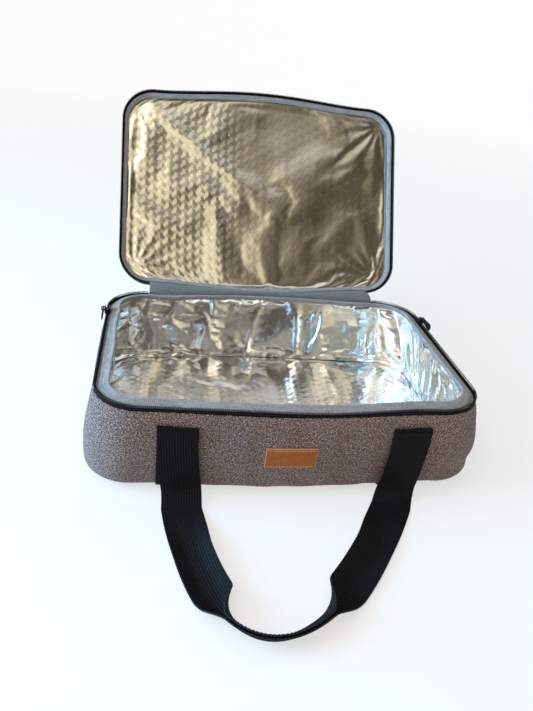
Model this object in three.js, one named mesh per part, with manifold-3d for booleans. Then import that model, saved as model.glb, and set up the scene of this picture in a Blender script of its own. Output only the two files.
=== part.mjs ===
// An insulated carrier for a casserole dish, standing on a table with its zippered lid open.
// Millimetres, +Z up. The origin is on the table under the middle of the base, and the front wall faces -Y.
import * as THREE from "three";
import Module from "manifold-3d";
import { mergeVertices } from "three/addons/utils/BufferGeometryUtils.js";

const wasm = await Module();
wasm.setup();

// Plan of the rim: a rounded rectangle whose front and back ends bow out
const rimWidth = 384;
const rimDepth = 270;
const cornerRadius = 48;
const endBow = 8;

// Heights and swell of the body
const rimHeight = 99;
const zipperBand = 9;
const sideSpread = 10;
const endSwell = 5;
const baseTuck = 9;
const baseRound = 12;

// Layers, and the clearance between layers that are sewn or laid together
const fabric = 1.2;
const wallFoam = 5;
const floorFoam = 6;
const boardThickness = 2;
const foil = 0.8;
const fit = 0.3;

// Zipper and the binding that covers the raw edges beside it
const tape = 1;
const tapeLap = 10;
const coilRadius = 1.4;
const bindingThickness = 1.5;
const bindingDrop = 1.5;
const bindingSlope = 9;
const bindingFlange = 4;
const bindingEdge = 2.25;
const bindingMitre = 0.75;

// Webbing straps, the carrying loops and the leather patch
const webbing = 1.6;
const webbingWidth = 38;
const strapSpacing = 224;
const strapDrop = 12;
const hangGap = 0.7;
const loopReach = 164;
const loopHalfWidth = 108;
const loopLean = -38;
const bendRadius = 16;
const flareStart = 71;
const flareEnd = 36;
const gripFold = 88;
const gripLean = 25;
const patchWidth = 50;
const patchHeight = 23;
const patchThickness = 1.6;
const patchX = -5;
const patchBottom = 38;

// Lid, measured from the plane that its zipper coil rests on
const lidInset = 8;
const lidGap = 0.5;
const lidSkirt = 9;
const lidRound = 8;
const lidFoam = 6;
const lidPanelRise = 13;
const lidBindingReach = 4.6;
const hingeSetback = 2;
const hingeDrop = 12;
const openAngle = 119.5;
const hingeBend = 9;

// Zipper slider and its puller
const sliderLength = 12;
const sliderPlate = 1.2;
const sliderPlay = 0.4;
const sliderRise = 5;
const flangeLip = 1;
const bridgeSpan = 8.4;
const bridgeBar = 1;
const bridgeDepth = 1.4;
const bridgeClear = 3;
const pullerLength = 26;
const pullerThickness = 1.2;
const pullerEye = 3.2;
const pullerTip = 4.2;
const eyeStart = 0.9;
const eyeHalf = 1.5;
const pullerNeck = 2.88;
const wedgeNose = 0.5;
const wedgeWidest = 3;
const wedgeEnd = 6;
const wedgeNoseLift = 0.4;
const wedgeEndLift = 0.6;
const wedgeTopDrop = 0.6;
const shieldTail = 1.6;
const shieldShoulder = 0.8;

// Steps of the faceted curves
const cornerSteps = 5;
const endSteps = 12;
const roundSteps = 3;
const wallSteps = 4;
const loopSteps = 14;
const coilSides = 6;
const legSteps = 4;
const bendSteps = 4;
const archSteps = 8;
const tipSteps = 6;

// Places that follow from those sizes
const wallHeight = rimHeight - zipperBand;
const strapTop = wallHeight - strapDrop;
const tableClear = webbing + fit;
const layerInset = fabric + fit;
const tapeInner = layerInset + tape;
const foamInner = layerInset + wallFoam;
const linerOuter = foamInner + fit;
const linerInner = linerOuter + foil;
const coilInset = layerInset + tape / 2;
const coilZ = rimHeight - coilRadius;
const tapeTop = coilZ - coilRadius - fit;
const tapeBottom = wallHeight - tapeLap;
const wallStart = tableClear + baseRound;
const boardZ = tableClear + fabric + fit;
const floorFoamZ = boardZ + boardThickness + fit;
const linerZ = floorFoamZ + floorFoam + fit;
const bindingTop = tapeTop - bindingDrop;
const bindingKnee = bindingTop - bindingSlope;
const lidZ = rimHeight + lidGap;
const lidFoamRise = lidPanelRise + foil + fit;
const lidHeight = lidFoamRise + lidFoam + fit + fabric;
const hingeY = rimDepth / 2 + endBow + hingeSetback;
const hingeZ = rimHeight - hingeDrop;
const turn = THREE.MathUtils.degToRad;

const vector = (x, y, z) => new THREE.Vector3(x, y, z);

// The walls lean out to the sides and tuck in at the front and back towards the base
const spread = (z) => sideSpread * (1 - Math.min(z / wallHeight, 1) ** 2);
const swell = (z) => {
  const share = Math.min(z / wallHeight, 1);
  return endSwell * Math.sin(Math.PI * share) - baseTuck * (1 - share);
};

// Distance of the front or back face from the middle of the body
function endFace(x, z) {
  const share = x / (rimWidth / 2 - cornerRadius + spread(z));
  return rimDepth / 2 + swell(z) + endBow * (1 - share * share) ** 2;
}

// Closed plan at one height, taken in by an inset. It runs from the right end of the back edge, forwards and
// round the front to the left end of the back edge, and then along the back edge.
function plan(inset, z) {
  const runX = rimWidth / 2 - cornerRadius + spread(z);
  const runY = rimDepth / 2 - cornerRadius + swell(z);
  const radius = cornerRadius - inset;
  const loop = [];
  const corner = (signX, signY, start) => {
    for (let i = 0; i <= cornerSteps; i++) {
      const angle = start - (Math.PI / 2) * (i / cornerSteps);
      loop.push(vector(signX * runX + radius * Math.cos(angle), signY * runY + radius * Math.sin(angle), z));
    }
  };
  const end = (sign) => {
    for (let i = 1; i < endSteps; i++) {
      const x = sign * runX * ((2 * i) / endSteps - 1);
      loop.push(vector(x, sign * (endFace(x, z) - inset), z));
    }
  };
  corner(1, 1, Math.PI / 2);
  corner(1, -1, 0);
  end(-1);
  corner(-1, -1, -Math.PI / 2);
  corner(-1, 1, -Math.PI);
  end(1);
  return loop;
}
const zipperPoints = 4 * (cornerSteps + 1) + endSteps - 1;

// Triangles that close an end row of points, in the row's own order: round its middle point, or from face to face
// across a bent strip
const fan = (count, middle) => Array.from({ length: count }, (_, i) => [i, (i + 1) % count, middle]);
const ladder = (count) =>
  Array.from({ length: count / 2 - 1 }, (_, i) => [
    [i, i + 1, count - 2 - i],
    [i, count - 2 - i, count - 1 - i],
  ]).flat();

// Closed solid over rows of points: a ring when the last row joins the first, and capped otherwise
function skin(rows, { ring = false, bent = false } = {}) {
  const count = rows[0].length;
  const points = rows.flat();
  const faces = [];
  rows.forEach((row, r) => {
    const next = (r + 1) % rows.length;
    if (next === 0 && !ring) return;
    row.forEach((point, i) => {
      const j = (i + 1) % count;
      faces.push([r * count + i, r * count + j, next * count + j]);
      faces.push([r * count + i, next * count + j, next * count + i]);
    });
  });
  const cap = (row, first, flip) => {
    const middle = row.reduce((sum, point) => sum.add(point), vector(0, 0, 0)).divideScalar(count);
    const closing = bent ? ladder(count) : fan(count, points.length - first);
    if (!bent) points.push(middle);
    closing.forEach(([a, b, c]) => faces.push((flip ? [a, c, b] : [a, b, c]).map((i) => first + i)));
  };
  if (!ring) {
    cap(rows[0], 0, true);
    cap(rows.at(-1), (rows.length - 1) * count, false);
  }
  const volume = faces.reduce((sum, [a, b, c]) => sum + points[a].dot(points[b].clone().cross(points[c])), 0);
  const outward = volume > 0 ? faces : faces.map(([a, b, c]) => [a, c, b]);
  const geometry = new THREE.BufferGeometry().setFromPoints(points);
  geometry.setIndex(outward.flat());
  geometry.computeVertexNormals();
  return geometry;
}

// A section of [inset, height] points carried round the whole rim, or along the three sides that the zipper takes
const ringOf = (section) => skin(section.map(([inset, z]) => plan(inset, z)), { ring: true });
function zipperRun(section) {
  const loops = section.map(([inset, z]) => plan(inset, z));
  const stations = Array.from({ length: zipperPoints }, (_, i) => loops.map((loop) => loop[i]));
  return skin(stations);
}
const plate = (inset, bottom, thickness) => {
  const low = plan(inset, bottom);
  return skin([low, low.map((point) => vector(point.x, point.y, bottom + thickness))]);
};
const tapeSection = (inset, bottom, top) => [
  ...layerLevels(inset, bottom, top),
  ...layerLevels(inset + tape, bottom, top).reverse(),
];

// Levels of the outer wall as [inset, height], from the seam under the base to the top edge
function wallLevels(inset) {
  const levels = [];
  const radius = baseRound - inset;
  for (let i = 0; i <= roundSteps; i++) {
    const angle = (Math.PI / 2) * (1 - i / roundSteps);
    const z = tableClear + baseRound - radius * Math.sin(angle);
    levels.push([baseRound - radius * Math.cos(angle), z]);
  }
  return [...levels, ...layerLevels(inset, wallStart, wallHeight).slice(1)];
}

// Levels of a layer between two heights, as [inset, height], at the outer wall's own heights in between
function layerLevels(inset, bottom, top) {
  const heights = Array.from({ length: wallSteps + 1 }, (_, i) => {
    return wallStart + ((wallHeight - wallStart) * i) / wallSteps;
  });
  const between = heights.filter((z) => z > bottom && z < top);
  return [bottom, ...between, top].map((z) => [inset, z]);
}

function linerTub() {
  const outer = layerLevels(linerOuter, linerZ, bindingKnee);
  const inner = layerLevels(linerInner, linerZ + foil, bindingKnee).reverse();
  return skin([...outer, ...inner].map(([inset, z]) => plan(inset, z)));
}

function rimBinding() {
  const outside = tapeInner + fit;
  const inside = linerInner + fit;
  return ringOf([
    [outside, bindingTop],
    [outside, bindingTop - bindingEdge],
    [inside, bindingKnee],
    [inside, bindingKnee - bindingFlange],
    [inside + bindingThickness, bindingKnee - bindingFlange],
    [inside + bindingThickness, bindingKnee + bindingMitre],
  ]);
}

function coil(inset, z) {
  const section = Array.from({ length: coilSides }, (_, i) => {
    const angle = (2 * Math.PI * (i + 0.5)) / coilSides;
    return [inset + coilRadius * Math.cos(angle), z + coilRadius * Math.sin(angle)];
  });
  const path = plan(inset, z).slice(0, zipperPoints);
  const inward = plan(inset + 1, z).slice(0, zipperPoints);
  return skin(
    path.map((point, i) => {
      const step = inward[i].clone().sub(point);
      return section.map(([away, height]) => {
        const place = point.clone().addScaledVector(step, away - inset);
        return place.setZ(height);
      });
    }),
  );
}

// A strip laid on the outer wall between two heights, sagging with it. Each station has the points of its inner
// face and then those of its outer face.
function stripSection(xs, profileAt, index, gap, thickness) {
  const face = (x, away) => {
    const profile = profileAt(x);
    const before = profile[Math.max(index - 1, 0)];
    const after = profile[Math.min(index + 1, profile.length - 1)];
    const slope = after.clone().sub(before).normalize();
    const [y, z] = [profile[index].x, profile[index].y];
    return vector(x, y + slope.y * away, z - slope.x * away);
  };
  return [...xs.map((x) => face(x, gap)), ...xs.toReversed().map((x) => face(x, gap + thickness))];
}

// Height profile of the front wall at one x, as points of y and z, from a top height down to the seam
function frontProfile(x, top) {
  const levels = wallLevels(0).filter(([, z]) => z < top);
  const heights = [...levels, [0, top]].reverse();
  return heights.map(([inset, z]) => new THREE.Vector2(inset - endFace(x, z), z));
}

// Webbing that runs down the front wall, under the base and up the back wall
function strap(centre) {
  const half = webbingWidth / 2;
  const xs = [centre - half, centre, centre + half];
  const profileAt = (x) => {
    const front = frontProfile(x, strapTop);
    const back = front.map((point) => new THREE.Vector2(-point.x, point.y)).reverse();
    return [...front, ...back];
  };
  const count = profileAt(centre).length;
  const stations = Array.from({ length: count }, (_, i) => stripSection(xs, profileAt, i, fit, webbing));
  return skin(stations);
}

function leatherPatch() {
  const half = patchWidth / 2;
  const xs = [patchX - half, patchX, patchX + half];
  const top = patchBottom + patchHeight;
  const profileAt = (x) =>
    [top, patchBottom + patchHeight / 2, patchBottom].map((z) => new THREE.Vector2(-endFace(x, z), z));
  return skin([0, 1, 2].map((i) => stripSection(xs, profileAt, i, fit, patchThickness)));
}

// Section of the webbing as it folds in half lengthwise, across the strip and out from its face
function foldedSection(fold) {
  const half = webbing + fit / 2;
  const flap = webbingWidth / 2 - half;
  const tip = [half + flap * Math.cos(fold), flap * Math.sin(fold)];
  const inTip = [tip[0] - webbing * Math.sin(fold), tip[1] + webbing * Math.cos(fold)];
  const inCrease = [half - webbing * Math.tan(fold / 2), webbing];
  const right = [[half, 0], tip, inTip, inCrease];
  const left = right.map(([across, out]) => [-across, out]).reverse();
  return [...right, ...left];
}

// Stations of one half of a carrying loop, from its stitched end to the middle of the grip: a place, the
// direction of its face and how far it has folded. The leg hangs down the wall and bends out onto the table.
const legY = -(endFace(strapSpacing / 2 - webbingWidth / 2, strapTop) + fit + webbing + hangGap);
function halfLoop(sign) {
  const stations = [];
  const legLength = strapTop - bendRadius;
  const bendLength = (Math.PI / 2) * bendRadius;
  const landing = Math.sqrt(1 - bendRadius / loopReach);
  const legX = (run) => {
    const share = run / (legLength + bendLength);
    return strapSpacing / 2 + (loopHalfWidth * landing - strapSpacing / 2) * share ** 2;
  };
  const add = (x, out, z, tilt, fold) => {
    const place = vector(sign * x + (loopLean * out) / loopReach, legY - out, z + fit);
    stations.push({ place, face: vector(0, -Math.cos(tilt), Math.sin(tilt)), fold });
  };
  for (let i = 0; i < legSteps; i++) {
    const run = (legLength * i) / legSteps;
    add(legX(run), 0, strapTop - fit - run, 0, 0);
  }
  for (let i = 0; i <= bendSteps; i++) {
    const angle = (Math.PI / 2) * (i / bendSteps);
    const out = bendRadius * (1 - Math.cos(angle));
    add(legX(legLength + bendRadius * angle), out, bendRadius * (1 - Math.sin(angle)), angle, 0);
  }
  for (let i = 1; i <= loopSteps; i++) {
    const share = landing * (1 - i / loopSteps);
    const x = loopHalfWidth * share;
    add(x, loopReach * (1 - share * share), 0, Math.PI / 2, 1 - THREE.MathUtils.smoothstep(x, flareEnd, flareStart));
  }
  return stations;
}

function carryingLoop() {
  const left = halfLoop(-1);
  const right = halfLoop(1).slice(0, -1).reverse();
  const stations = [...left, ...right];
  const half = webbing + fit / 2;
  return skin(
    stations.map(({ place, face, fold }, i) => {
      const before = stations[Math.max(i - 1, 0)].place;
      const after = stations[Math.min(i + 1, stations.length - 1)].place;
      const along = after.clone().sub(before).normalize();
      const across = along.clone().cross(face).normalize();
      const out = across.clone().cross(along);
      const lean = turn(gripLean) * fold;
      const tiltedOut = out.clone().multiplyScalar(Math.cos(lean)).addScaledVector(across, Math.sin(lean));
      const tiltedAcross = across.clone().multiplyScalar(Math.cos(lean)).addScaledVector(out, -Math.sin(lean));
      const raised = place.clone().addScaledVector(out, half * Math.sin(lean));
      return foldedSection(turn(gripFold) * fold).map(([a, b]) =>
        raised.clone().addScaledVector(tiltedAcross, a).addScaledVector(tiltedOut, b),
      );
    }),
  );
}

// Lid pieces, in the closed position
function lidCover() {
  const shell = (inset, bottom) => {
    const radius = lidRound - inset;
    const levels = [[inset, bottom]];
    for (let i = 0; i <= roundSteps; i++) {
      const angle = (Math.PI / 2) * (i / roundSteps);
      levels.push([lidRound - radius * Math.cos(angle), lidHeight - lidRound + radius * Math.sin(angle)]);
    }
    return levels;
  };
  const levels = [...shell(fabric, lidSkirt).reverse(), ...shell(0, lidSkirt)];
  return skin(levels.map(([inset, rise]) => plan(lidInset + inset, lidZ + rise)));
}

function lidBinding() {
  const outside = lidInset + tapeInner + fit;
  const inside = outside + bindingSlope - lidBindingReach;
  const top = lidZ + lidPanelRise - fit;
  const low = lidZ + 2 * coilRadius + fit + bindingDrop;
  return ringOf([
    [outside, low],
    [outside, low + bindingEdge],
    [inside, top],
    [inside + lidBindingReach, top],
    [inside + lidBindingReach, top - bindingThickness],
    [inside + bindingMitre, top - bindingThickness],
  ]);
}
const lidTapeBottom = lidZ + 2 * coilRadius + fit;
const lidTapeTop = lidZ + lidHeight - lidRound - fit;

// Fabric hinge: up inside the back wall, over in an arch, and down inside the lid's back edge
function hingeStrip() {
  const half = rimWidth / 2 - cornerRadius - fit;
  const opened = (y, z) => {
    const place = new THREE.Vector2(y - hingeY, z - hingeZ).rotateAround(new THREE.Vector2(), -turn(openAngle));
    return place.add(new THREE.Vector2(hingeY, hingeZ));
  };
  const heading = new THREE.Vector2(0, 1).rotateAround(new THREE.Vector2(), -turn(openAngle));
  const up = new THREE.Vector2(0, 1);
  const stations = Array.from({ length: endSteps - 1 }, (_, i) => {
    const x = half * ((2 * i) / (endSteps - 2) - 1);
    const bodyY = endFace(x, wallHeight) - coilInset;
    const foot = new THREE.Vector2(bodyY, bindingTop);
    const landing = opened(bodyY - lidInset, lidTapeBottom);
    const arch = new THREE.CubicBezierCurve(
      foot,
      foot.clone().addScaledVector(up, hingeBend),
      landing.clone().addScaledVector(heading, -hingeBend),
      landing,
    );
    const path = [
      new THREE.Vector2(bodyY, tapeBottom),
      ...arch.getPoints(archSteps),
      opened(bodyY - lidInset, lidTapeTop),
    ];
    const edge = (away) =>
      path.map((point, k) => {
        const slope = path[Math.min(k + 1, path.length - 1)].clone().sub(path[Math.max(k - 1, 0)]).normalize();
        const end = k === 1 ? up : k === path.length - 2 ? heading : slope;
        return vector(x, point.x + end.y * away, point.y - end.x * away);
      });
    return [...edge(tape / 2), ...edge(-tape / 2).reverse()];
  });
  return skin(stations, { bent: true });
}

// Conversions between a geometry and a solid that can be joined and cut
function solid(geometry) {
  const bare = geometry.clone();
  bare.deleteAttribute("normal");
  bare.deleteAttribute("uv");
  const merged = mergeVertices(bare, 1e-4);
  const mesh = new wasm.Mesh({
    numProp: 3,
    vertProperties: new Float32Array(merged.attributes.position.array),
    triVerts: new Uint32Array(merged.index.array),
  });
  return new wasm.Manifold(mesh);
}

function surface(body) {
  const mesh = body.getMesh();
  const geometry = new THREE.BufferGeometry();
  geometry.setAttribute("position", new THREE.BufferAttribute(new Float32Array(mesh.vertProperties), 3));
  geometry.setIndex(new THREE.BufferAttribute(new Uint32Array(mesh.triVerts), 1));
  geometry.computeVertexNormals();
  return geometry;
}

function extrude(points, depth, holes = []) {
  const shape = new THREE.Shape(points.map(([x, y]) => new THREE.Vector2(x, y)));
  shape.holes = holes.map((hole) => new THREE.Path(hole.map(([x, y]) => new THREE.Vector2(x, y))));
  const geometry = new THREE.ExtrudeGeometry(shape, { depth, bevelEnabled: false });
  return geometry.translate(0, 0, -depth / 2);
}

// Turns a drawing in x, y so that it lies in y, z and is extruded along x
const faceSideways = new THREE.Matrix4().makeBasis(vector(0, 1, 0), vector(0, 0, 1), vector(1, 0, 0));

// Slider on the right side's coil, about the coil's centre: two plates with lips round the coil, held together by
// a wedge in the mouth, and a bridge on the outer plate. The mouth faces the front.
const plateIn = coilRadius + sliderPlay;
const plateOut = plateIn + sliderPlate;
const bridgeZ = sliderRise / 2 - coilRadius / 2;
function slider() {
  const low = -coilRadius - fit - flangeLip;
  const lipIn = tape / 2 + sliderPlay;
  const half = [
    [plateOut, sliderRise],
    [plateOut, low],
    [lipIn, low],
    [lipIn, low + flangeLip],
    [plateIn, low + flangeLip],
    [plateIn, sliderRise],
  ];
  const upright = (points) => extrude(points, sliderLength).rotateX(Math.PI / 2);
  const outer = solid(upright(half));
  const inner = solid(upright(half.map(([x, z]) => [-x, z]).reverse()));
  const wedgeBottom = coilRadius + sliderPlay;
  const mouth = -sliderLength / 2;
  const wedge = extrude(
    [
      [mouth + wedgeNose, wedgeBottom + wedgeNoseLift],
      [mouth + wedgeWidest, wedgeBottom],
      [mouth + wedgeEnd, wedgeBottom + wedgeEndLift],
      [mouth + wedgeWidest, sliderRise - wedgeTopDrop],
    ],
    2 * plateIn + sliderPlate,
  ).applyMatrix4(faceSideways);
  const shield = extrude(
    [
      [-sliderLength / 2, low],
      [sliderLength / 2, low],
      [sliderLength / 2, sliderRise - shieldTail],
      [sliderLength / 6, sliderRise - shieldShoulder],
      [-sliderLength / 3, sliderRise],
      [-sliderLength / 2, sliderRise - shieldShoulder],
    ],
    4 * plateOut,
  ).applyMatrix4(faceSideways);
  const reach = plateOut + bridgeClear;
  const bridge = extrude(
    [
      [plateOut - sliderPlate / 2, -bridgeSpan / 2],
      [reach + bridgeBar, -bridgeSpan / 2],
      [reach + bridgeBar, bridgeSpan / 2],
      [plateOut - sliderPlate / 2, bridgeSpan / 2],
      [plateOut - sliderPlate / 2, bridgeSpan / 2 - bridgeBar],
      [reach, bridgeSpan / 2 - bridgeBar],
      [reach, bridgeBar - bridgeSpan / 2],
      [plateOut - sliderPlate / 2, bridgeBar - bridgeSpan / 2],
    ],
    bridgeDepth,
  ).translate(0, 0, bridgeZ);
  const body = outer.add(inner).add(solid(wedge)).intersect(solid(shield));
  return surface(body.add(solid(bridge)));
}

// Flat puller, about its pivot under the bridge, pointing to the front with its eye round the bridge
function puller() {
  const eyeEnd = Math.hypot(bridgeSpan / 2, bridgeClear / 2 + bridgeBar) + sliderPlay;
  const tip = Array.from({ length: tipSteps + 1 }, (_, i) => {
    const angle = Math.PI * (i / tipSteps);
    return [pullerTip - pullerLength - pullerTip * Math.sin(angle), pullerTip * Math.cos(angle)];
  });
  const outline = [[eyeStart, -pullerEye], [eyeStart, pullerEye], [-eyeEnd - pullerEye / 2, pullerNeck], ...tip];
  outline.push([-eyeEnd - pullerEye / 2, -pullerNeck]);
  const eye = [
    [-eyeStart, -eyeHalf],
    [-eyeStart, eyeHalf],
    [-eyeEnd, eyeHalf],
    [-eyeEnd, -eyeHalf],
  ];
  return extrude(outline.reverse(), pullerThickness, [eye]).applyMatrix4(faceSideways);
}

function mirrored(geometry) {
  const copy = (geometry.index ? geometry.toNonIndexed() : geometry.clone()).scale(-1, 1, 1);
  const places = copy.attributes.position;
  for (let i = 0; i < places.count; i += 3) {
    const [a, b] = [i + 1, i + 2].map((k) => new THREE.Vector3().fromBufferAttribute(places, k));
    places.setXYZ(i + 1, b.x, b.y, b.z);
    places.setXYZ(i + 2, a.x, a.y, a.z);
  }
  copy.computeVertexNormals();
  return copy;
}

// Finishes
const finish = (color, roughness, metalness = 0) => () =>
  new THREE.MeshStandardMaterial({ color, roughness, metalness });
const heather = finish(0x7b7d86, 0.95);
const black = finish(0x17171a, 0.8);
const bindingGrey = finish(0x8a8c93, 0.9);
const silverFoil = finish(0xc8c3b8, 0.28, 0.85);
const whiteFoam = finish(0xe6e4de, 0.95);
const greyBoard = finish(0x6d675f, 0.85);
const leather = finish(0xb98b58, 0.65);
const darkMetal = finish(0x2b2b2e, 0.45, 0.8);

function piece(name, geometry, material) {
  const mesh = new THREE.Mesh(geometry, material());
  mesh.name = name;
  return mesh;
}

const carrier = new THREE.Group();

// Body layers, from the outside in
carrier.add(
  piece("outer_wall", ringOf([...wallLevels(0), ...wallLevels(fabric).reverse()]), heather),
  piece("outer_bottom", plate(baseRound + fit, tableClear, fabric), heather),
  piece("base_board", plate(baseRound, boardZ, boardThickness), greyBoard),
  piece("bottom_foam", plate(baseRound / 2 + fit, floorFoamZ, floorFoam), whiteFoam),
  piece(
    "wall_foam",
    ringOf([
      ...layerLevels(layerInset, wallStart, tapeBottom - fit),
      ...layerLevels(foamInner, wallStart, tapeBottom - fit).reverse(),
    ]),
    whiteFoam,
  ),
  piece("liner", linerTub(), silverFoil),
  piece("rim_binding", rimBinding(), bindingGrey),
  piece("body_tape", zipperRun(tapeSection(layerInset, tapeBottom, tapeTop)), black),
  piece("body_coil", coil(coilInset, coilZ), black),
  piece("label_patch", leatherPatch(), leather),
  piece("hinge_strip", hingeStrip(), bindingGrey),
);

// Straps and carrying loops: the loop at the back is the front one turned round
carrier.add(
  piece("left_strap", strap(-strapSpacing / 2), black),
  piece("right_strap", strap(strapSpacing / 2), black),
  piece("front_handle", carryingLoop(), black),
);
const backHandle = piece("back_handle", carryingLoop(), black);
backHandle.rotation.z = Math.PI;
carrier.add(backHandle);

// Lid, swung open about the hinge
const lid = new THREE.Group();
lid.position.set(0, hingeY, hingeZ);
lid.rotation.x = -turn(openAngle);
const closedLid = new THREE.Group();
closedLid.position.set(0, -hingeY, -hingeZ);
closedLid.add(
  piece("lid_cover", lidCover(), heather),
  piece("lid_foam", plate(lidInset + lidRound, lidZ + lidFoamRise, lidFoam), whiteFoam),
  piece("lid_liner", plate(lidInset + tapeInner + 2 * fit, lidZ + lidPanelRise, foil), silverFoil),
  piece("lid_binding", lidBinding(), bindingGrey),
  piece("lid_tape", zipperRun(tapeSection(lidInset + layerInset, lidTapeBottom, lidTapeTop)), black),
  piece("lid_coil", coil(lidInset + coilInset, lidZ + coilRadius), black),
);
lid.add(closedLid);
carrier.add(lid);

// Sliders parked at the back ends of the straight sides, with their pullers
const sliderY = rimDepth / 2 - cornerRadius - sliderLength;
const coilX = rimWidth / 2 - coilInset;
for (const [side, sign] of [["left", -1], ["right", 1]]) {
  const shape = (geometry) => (sign > 0 ? geometry : mirrored(geometry));
  const sliderMesh = piece(`${side}_slider`, shape(slider()), darkMetal);
  sliderMesh.position.set(sign * coilX, sliderY, coilZ);
  const pullerMesh = piece(`${side}_puller`, shape(puller()), darkMetal);
  pullerMesh.position.set(sign * (coilX + plateOut + bridgeClear / 2), sliderY, coilZ + bridgeZ);
  carrier.add(sliderMesh, pullerMesh);
}

export default carrier;
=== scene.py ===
# %% [markdown]
# # A casserole carrier in cloth, foil and webbing
# An insulated carrier is nearly all soft goods: a cloth box over foam, a foil lining, tapes that bind the
# raw edges, a coil zipper and webbing straps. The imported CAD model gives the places, the hinge and the way
# things move. This lesson dresses that frame. Each soft solid is hidden and a sewn piece takes its place.

# %% The frame
import math

import bpy
import numpy as np
from mathutils import Matrix, Vector


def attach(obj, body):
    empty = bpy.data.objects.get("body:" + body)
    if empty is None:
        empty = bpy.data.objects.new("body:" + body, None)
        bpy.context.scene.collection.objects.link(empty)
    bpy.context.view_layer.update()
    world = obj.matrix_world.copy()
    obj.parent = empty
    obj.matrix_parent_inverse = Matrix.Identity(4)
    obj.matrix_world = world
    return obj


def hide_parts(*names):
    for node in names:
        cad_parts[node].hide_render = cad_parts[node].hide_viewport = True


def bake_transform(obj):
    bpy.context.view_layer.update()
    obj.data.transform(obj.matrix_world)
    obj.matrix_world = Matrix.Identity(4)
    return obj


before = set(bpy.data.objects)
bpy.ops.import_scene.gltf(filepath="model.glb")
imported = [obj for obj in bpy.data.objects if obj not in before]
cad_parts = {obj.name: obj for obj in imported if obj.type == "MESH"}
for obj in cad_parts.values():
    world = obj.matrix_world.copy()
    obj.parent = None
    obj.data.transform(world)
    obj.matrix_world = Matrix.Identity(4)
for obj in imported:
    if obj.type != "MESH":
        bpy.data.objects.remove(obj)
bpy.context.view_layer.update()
MM = 0.001

# %% [markdown]
# ## Camera
# The camera stands where the photograph was taken: to the left of the middle, above the carrier, and
# tilted a little. Its place and turn were fitted to the rim, the base and the lid, so they are written
# down as numbers. The lens follows from the focal length in pixels and the picture's long side.

# %% Camera
YAW, PITCH, ROLL = 0.18669, 0.47638, 0.11188
EYE = Vector((-0.13262, -0.63640, 0.41668))
FOCAL_PX, LONG_SIDE_PX, SENSOR_MM = 655.71, 711, 36.0

ahead = Vector((math.sin(YAW) * math.cos(PITCH), math.cos(YAW) * math.cos(PITCH), -math.sin(PITCH)))
level = Vector((math.cos(YAW), -math.sin(YAW), 0))
upright = level.cross(ahead)
right = level * math.cos(ROLL) + upright * math.sin(ROLL)
above = upright * math.cos(ROLL) - level * math.sin(ROLL)
bpy.ops.object.select_all(action="DESELECT")
bpy.ops.object.camera_add()
camera = bpy.context.object
camera.data.sensor_width = SENSOR_MM
camera.data.lens = FOCAL_PX / LONG_SIDE_PX * SENSOR_MM
camera.matrix_world = Matrix.Translation(EYE) @ Matrix((right, above, -ahead)).transposed().to_4x4()
bpy.context.scene.camera = camera
bpy.context.scene.view_settings.view_transform = "Standard"
print("camera lens", round(camera.data.lens, 2), "mm")

# %% [markdown]
# ## Shader sums
# A finish is a sum of patterns. Wiring those by hand takes many lines, so one small class holds an output
# socket and lets Python's own signs add the Math nodes. Every other node comes from its one method, add,
# which makes the node, sets its settings first and then fills its sockets.


# %% A wire between nodes
class Wire:
    """One output socket of a node tree. Sums of wires and numbers become Math nodes."""

    def __init__(self, tree, socket=None):
        self.tree, self.socket = tree, socket

    def add(self, kind, settings=None, out=0, **inputs):
        """A new node. An input is named as its socket is, or i and a number where names repeat."""
        node = self.tree.nodes.new("ShaderNode" + kind)
        for key, value in (settings or {}).items():
            if key == "stops":
                ramp = node.color_ramp.elements
                ramp[0].position, ramp[0].color = value[0][0], (*value[0][1], 1)
                ramp[-1].position, ramp[-1].color = value[-1][0], (*value[-1][1], 1)
                for place, colour in value[1:-1]:
                    ramp.new(place).color = (*colour, 1)
            else:
                setattr(node, key, value)
        for key, value in inputs.items():
            socket = node.inputs[int(key[1:]) if key[1:].isdigit() else key.replace("_", " ")]
            if isinstance(value, Wire):
                self.tree.links.new(value.socket, socket)
            else:
                socket.default_value = value
        return Wire(self.tree, node.outputs[out])

    def maths(self, operation, *values):
        return self.add("Math", {"operation": operation}, **{f"i{k}": v for k, v in enumerate(values)})

    def vectors(self, operation, *values, out=0):
        settings = {"operation": operation}
        return self.add("VectorMath", settings, out=out, **{f"i{k}": v for k, v in enumerate(values)})

    def mix(self, first, second):
        return self.add("Mix", {"data_type": "RGBA"}, out=2, i0=self, i6=first, i7=second)

    def parts(self):
        """The x, y and z of a vector, from one node."""
        split = self.add("SeparateXYZ", Vector=self).socket.node
        return [Wire(self.tree, socket) for socket in split.outputs]

    def stretched(self, *scale):
        return self.add("Mapping", Vector=self, Scale=scale)

    def noise(self, scale, detail=2.0, roughness=0.5):
        return self.add("TexNoise", Vector=self, Scale=scale, Detail=detail, Roughness=roughness)

    def ramp(self, *stops):
        return self.add("ValToRGB", {"stops": stops}, Fac=self)

    def span(self, low, high):
        return self.add("MapRange", {"clamp": True}, Value=self, From_Min=low, From_Max=high)

    def bump(self, distance, strength=1.0):
        return self.add("Bump", Height=self, Distance=distance, Strength=strength)

    def __add__(self, other):
        return self.maths("ADD", self, other)

    def __sub__(self, other):
        return self.maths("SUBTRACT", self, other)

    def __rsub__(self, other):
        return self.maths("SUBTRACT", other, self)

    def __mul__(self, other):
        return self.maths("MULTIPLY", self, other)

    __radd__, __rmul__ = __add__, __mul__


print("signs that add a Math node: + - *")


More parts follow.
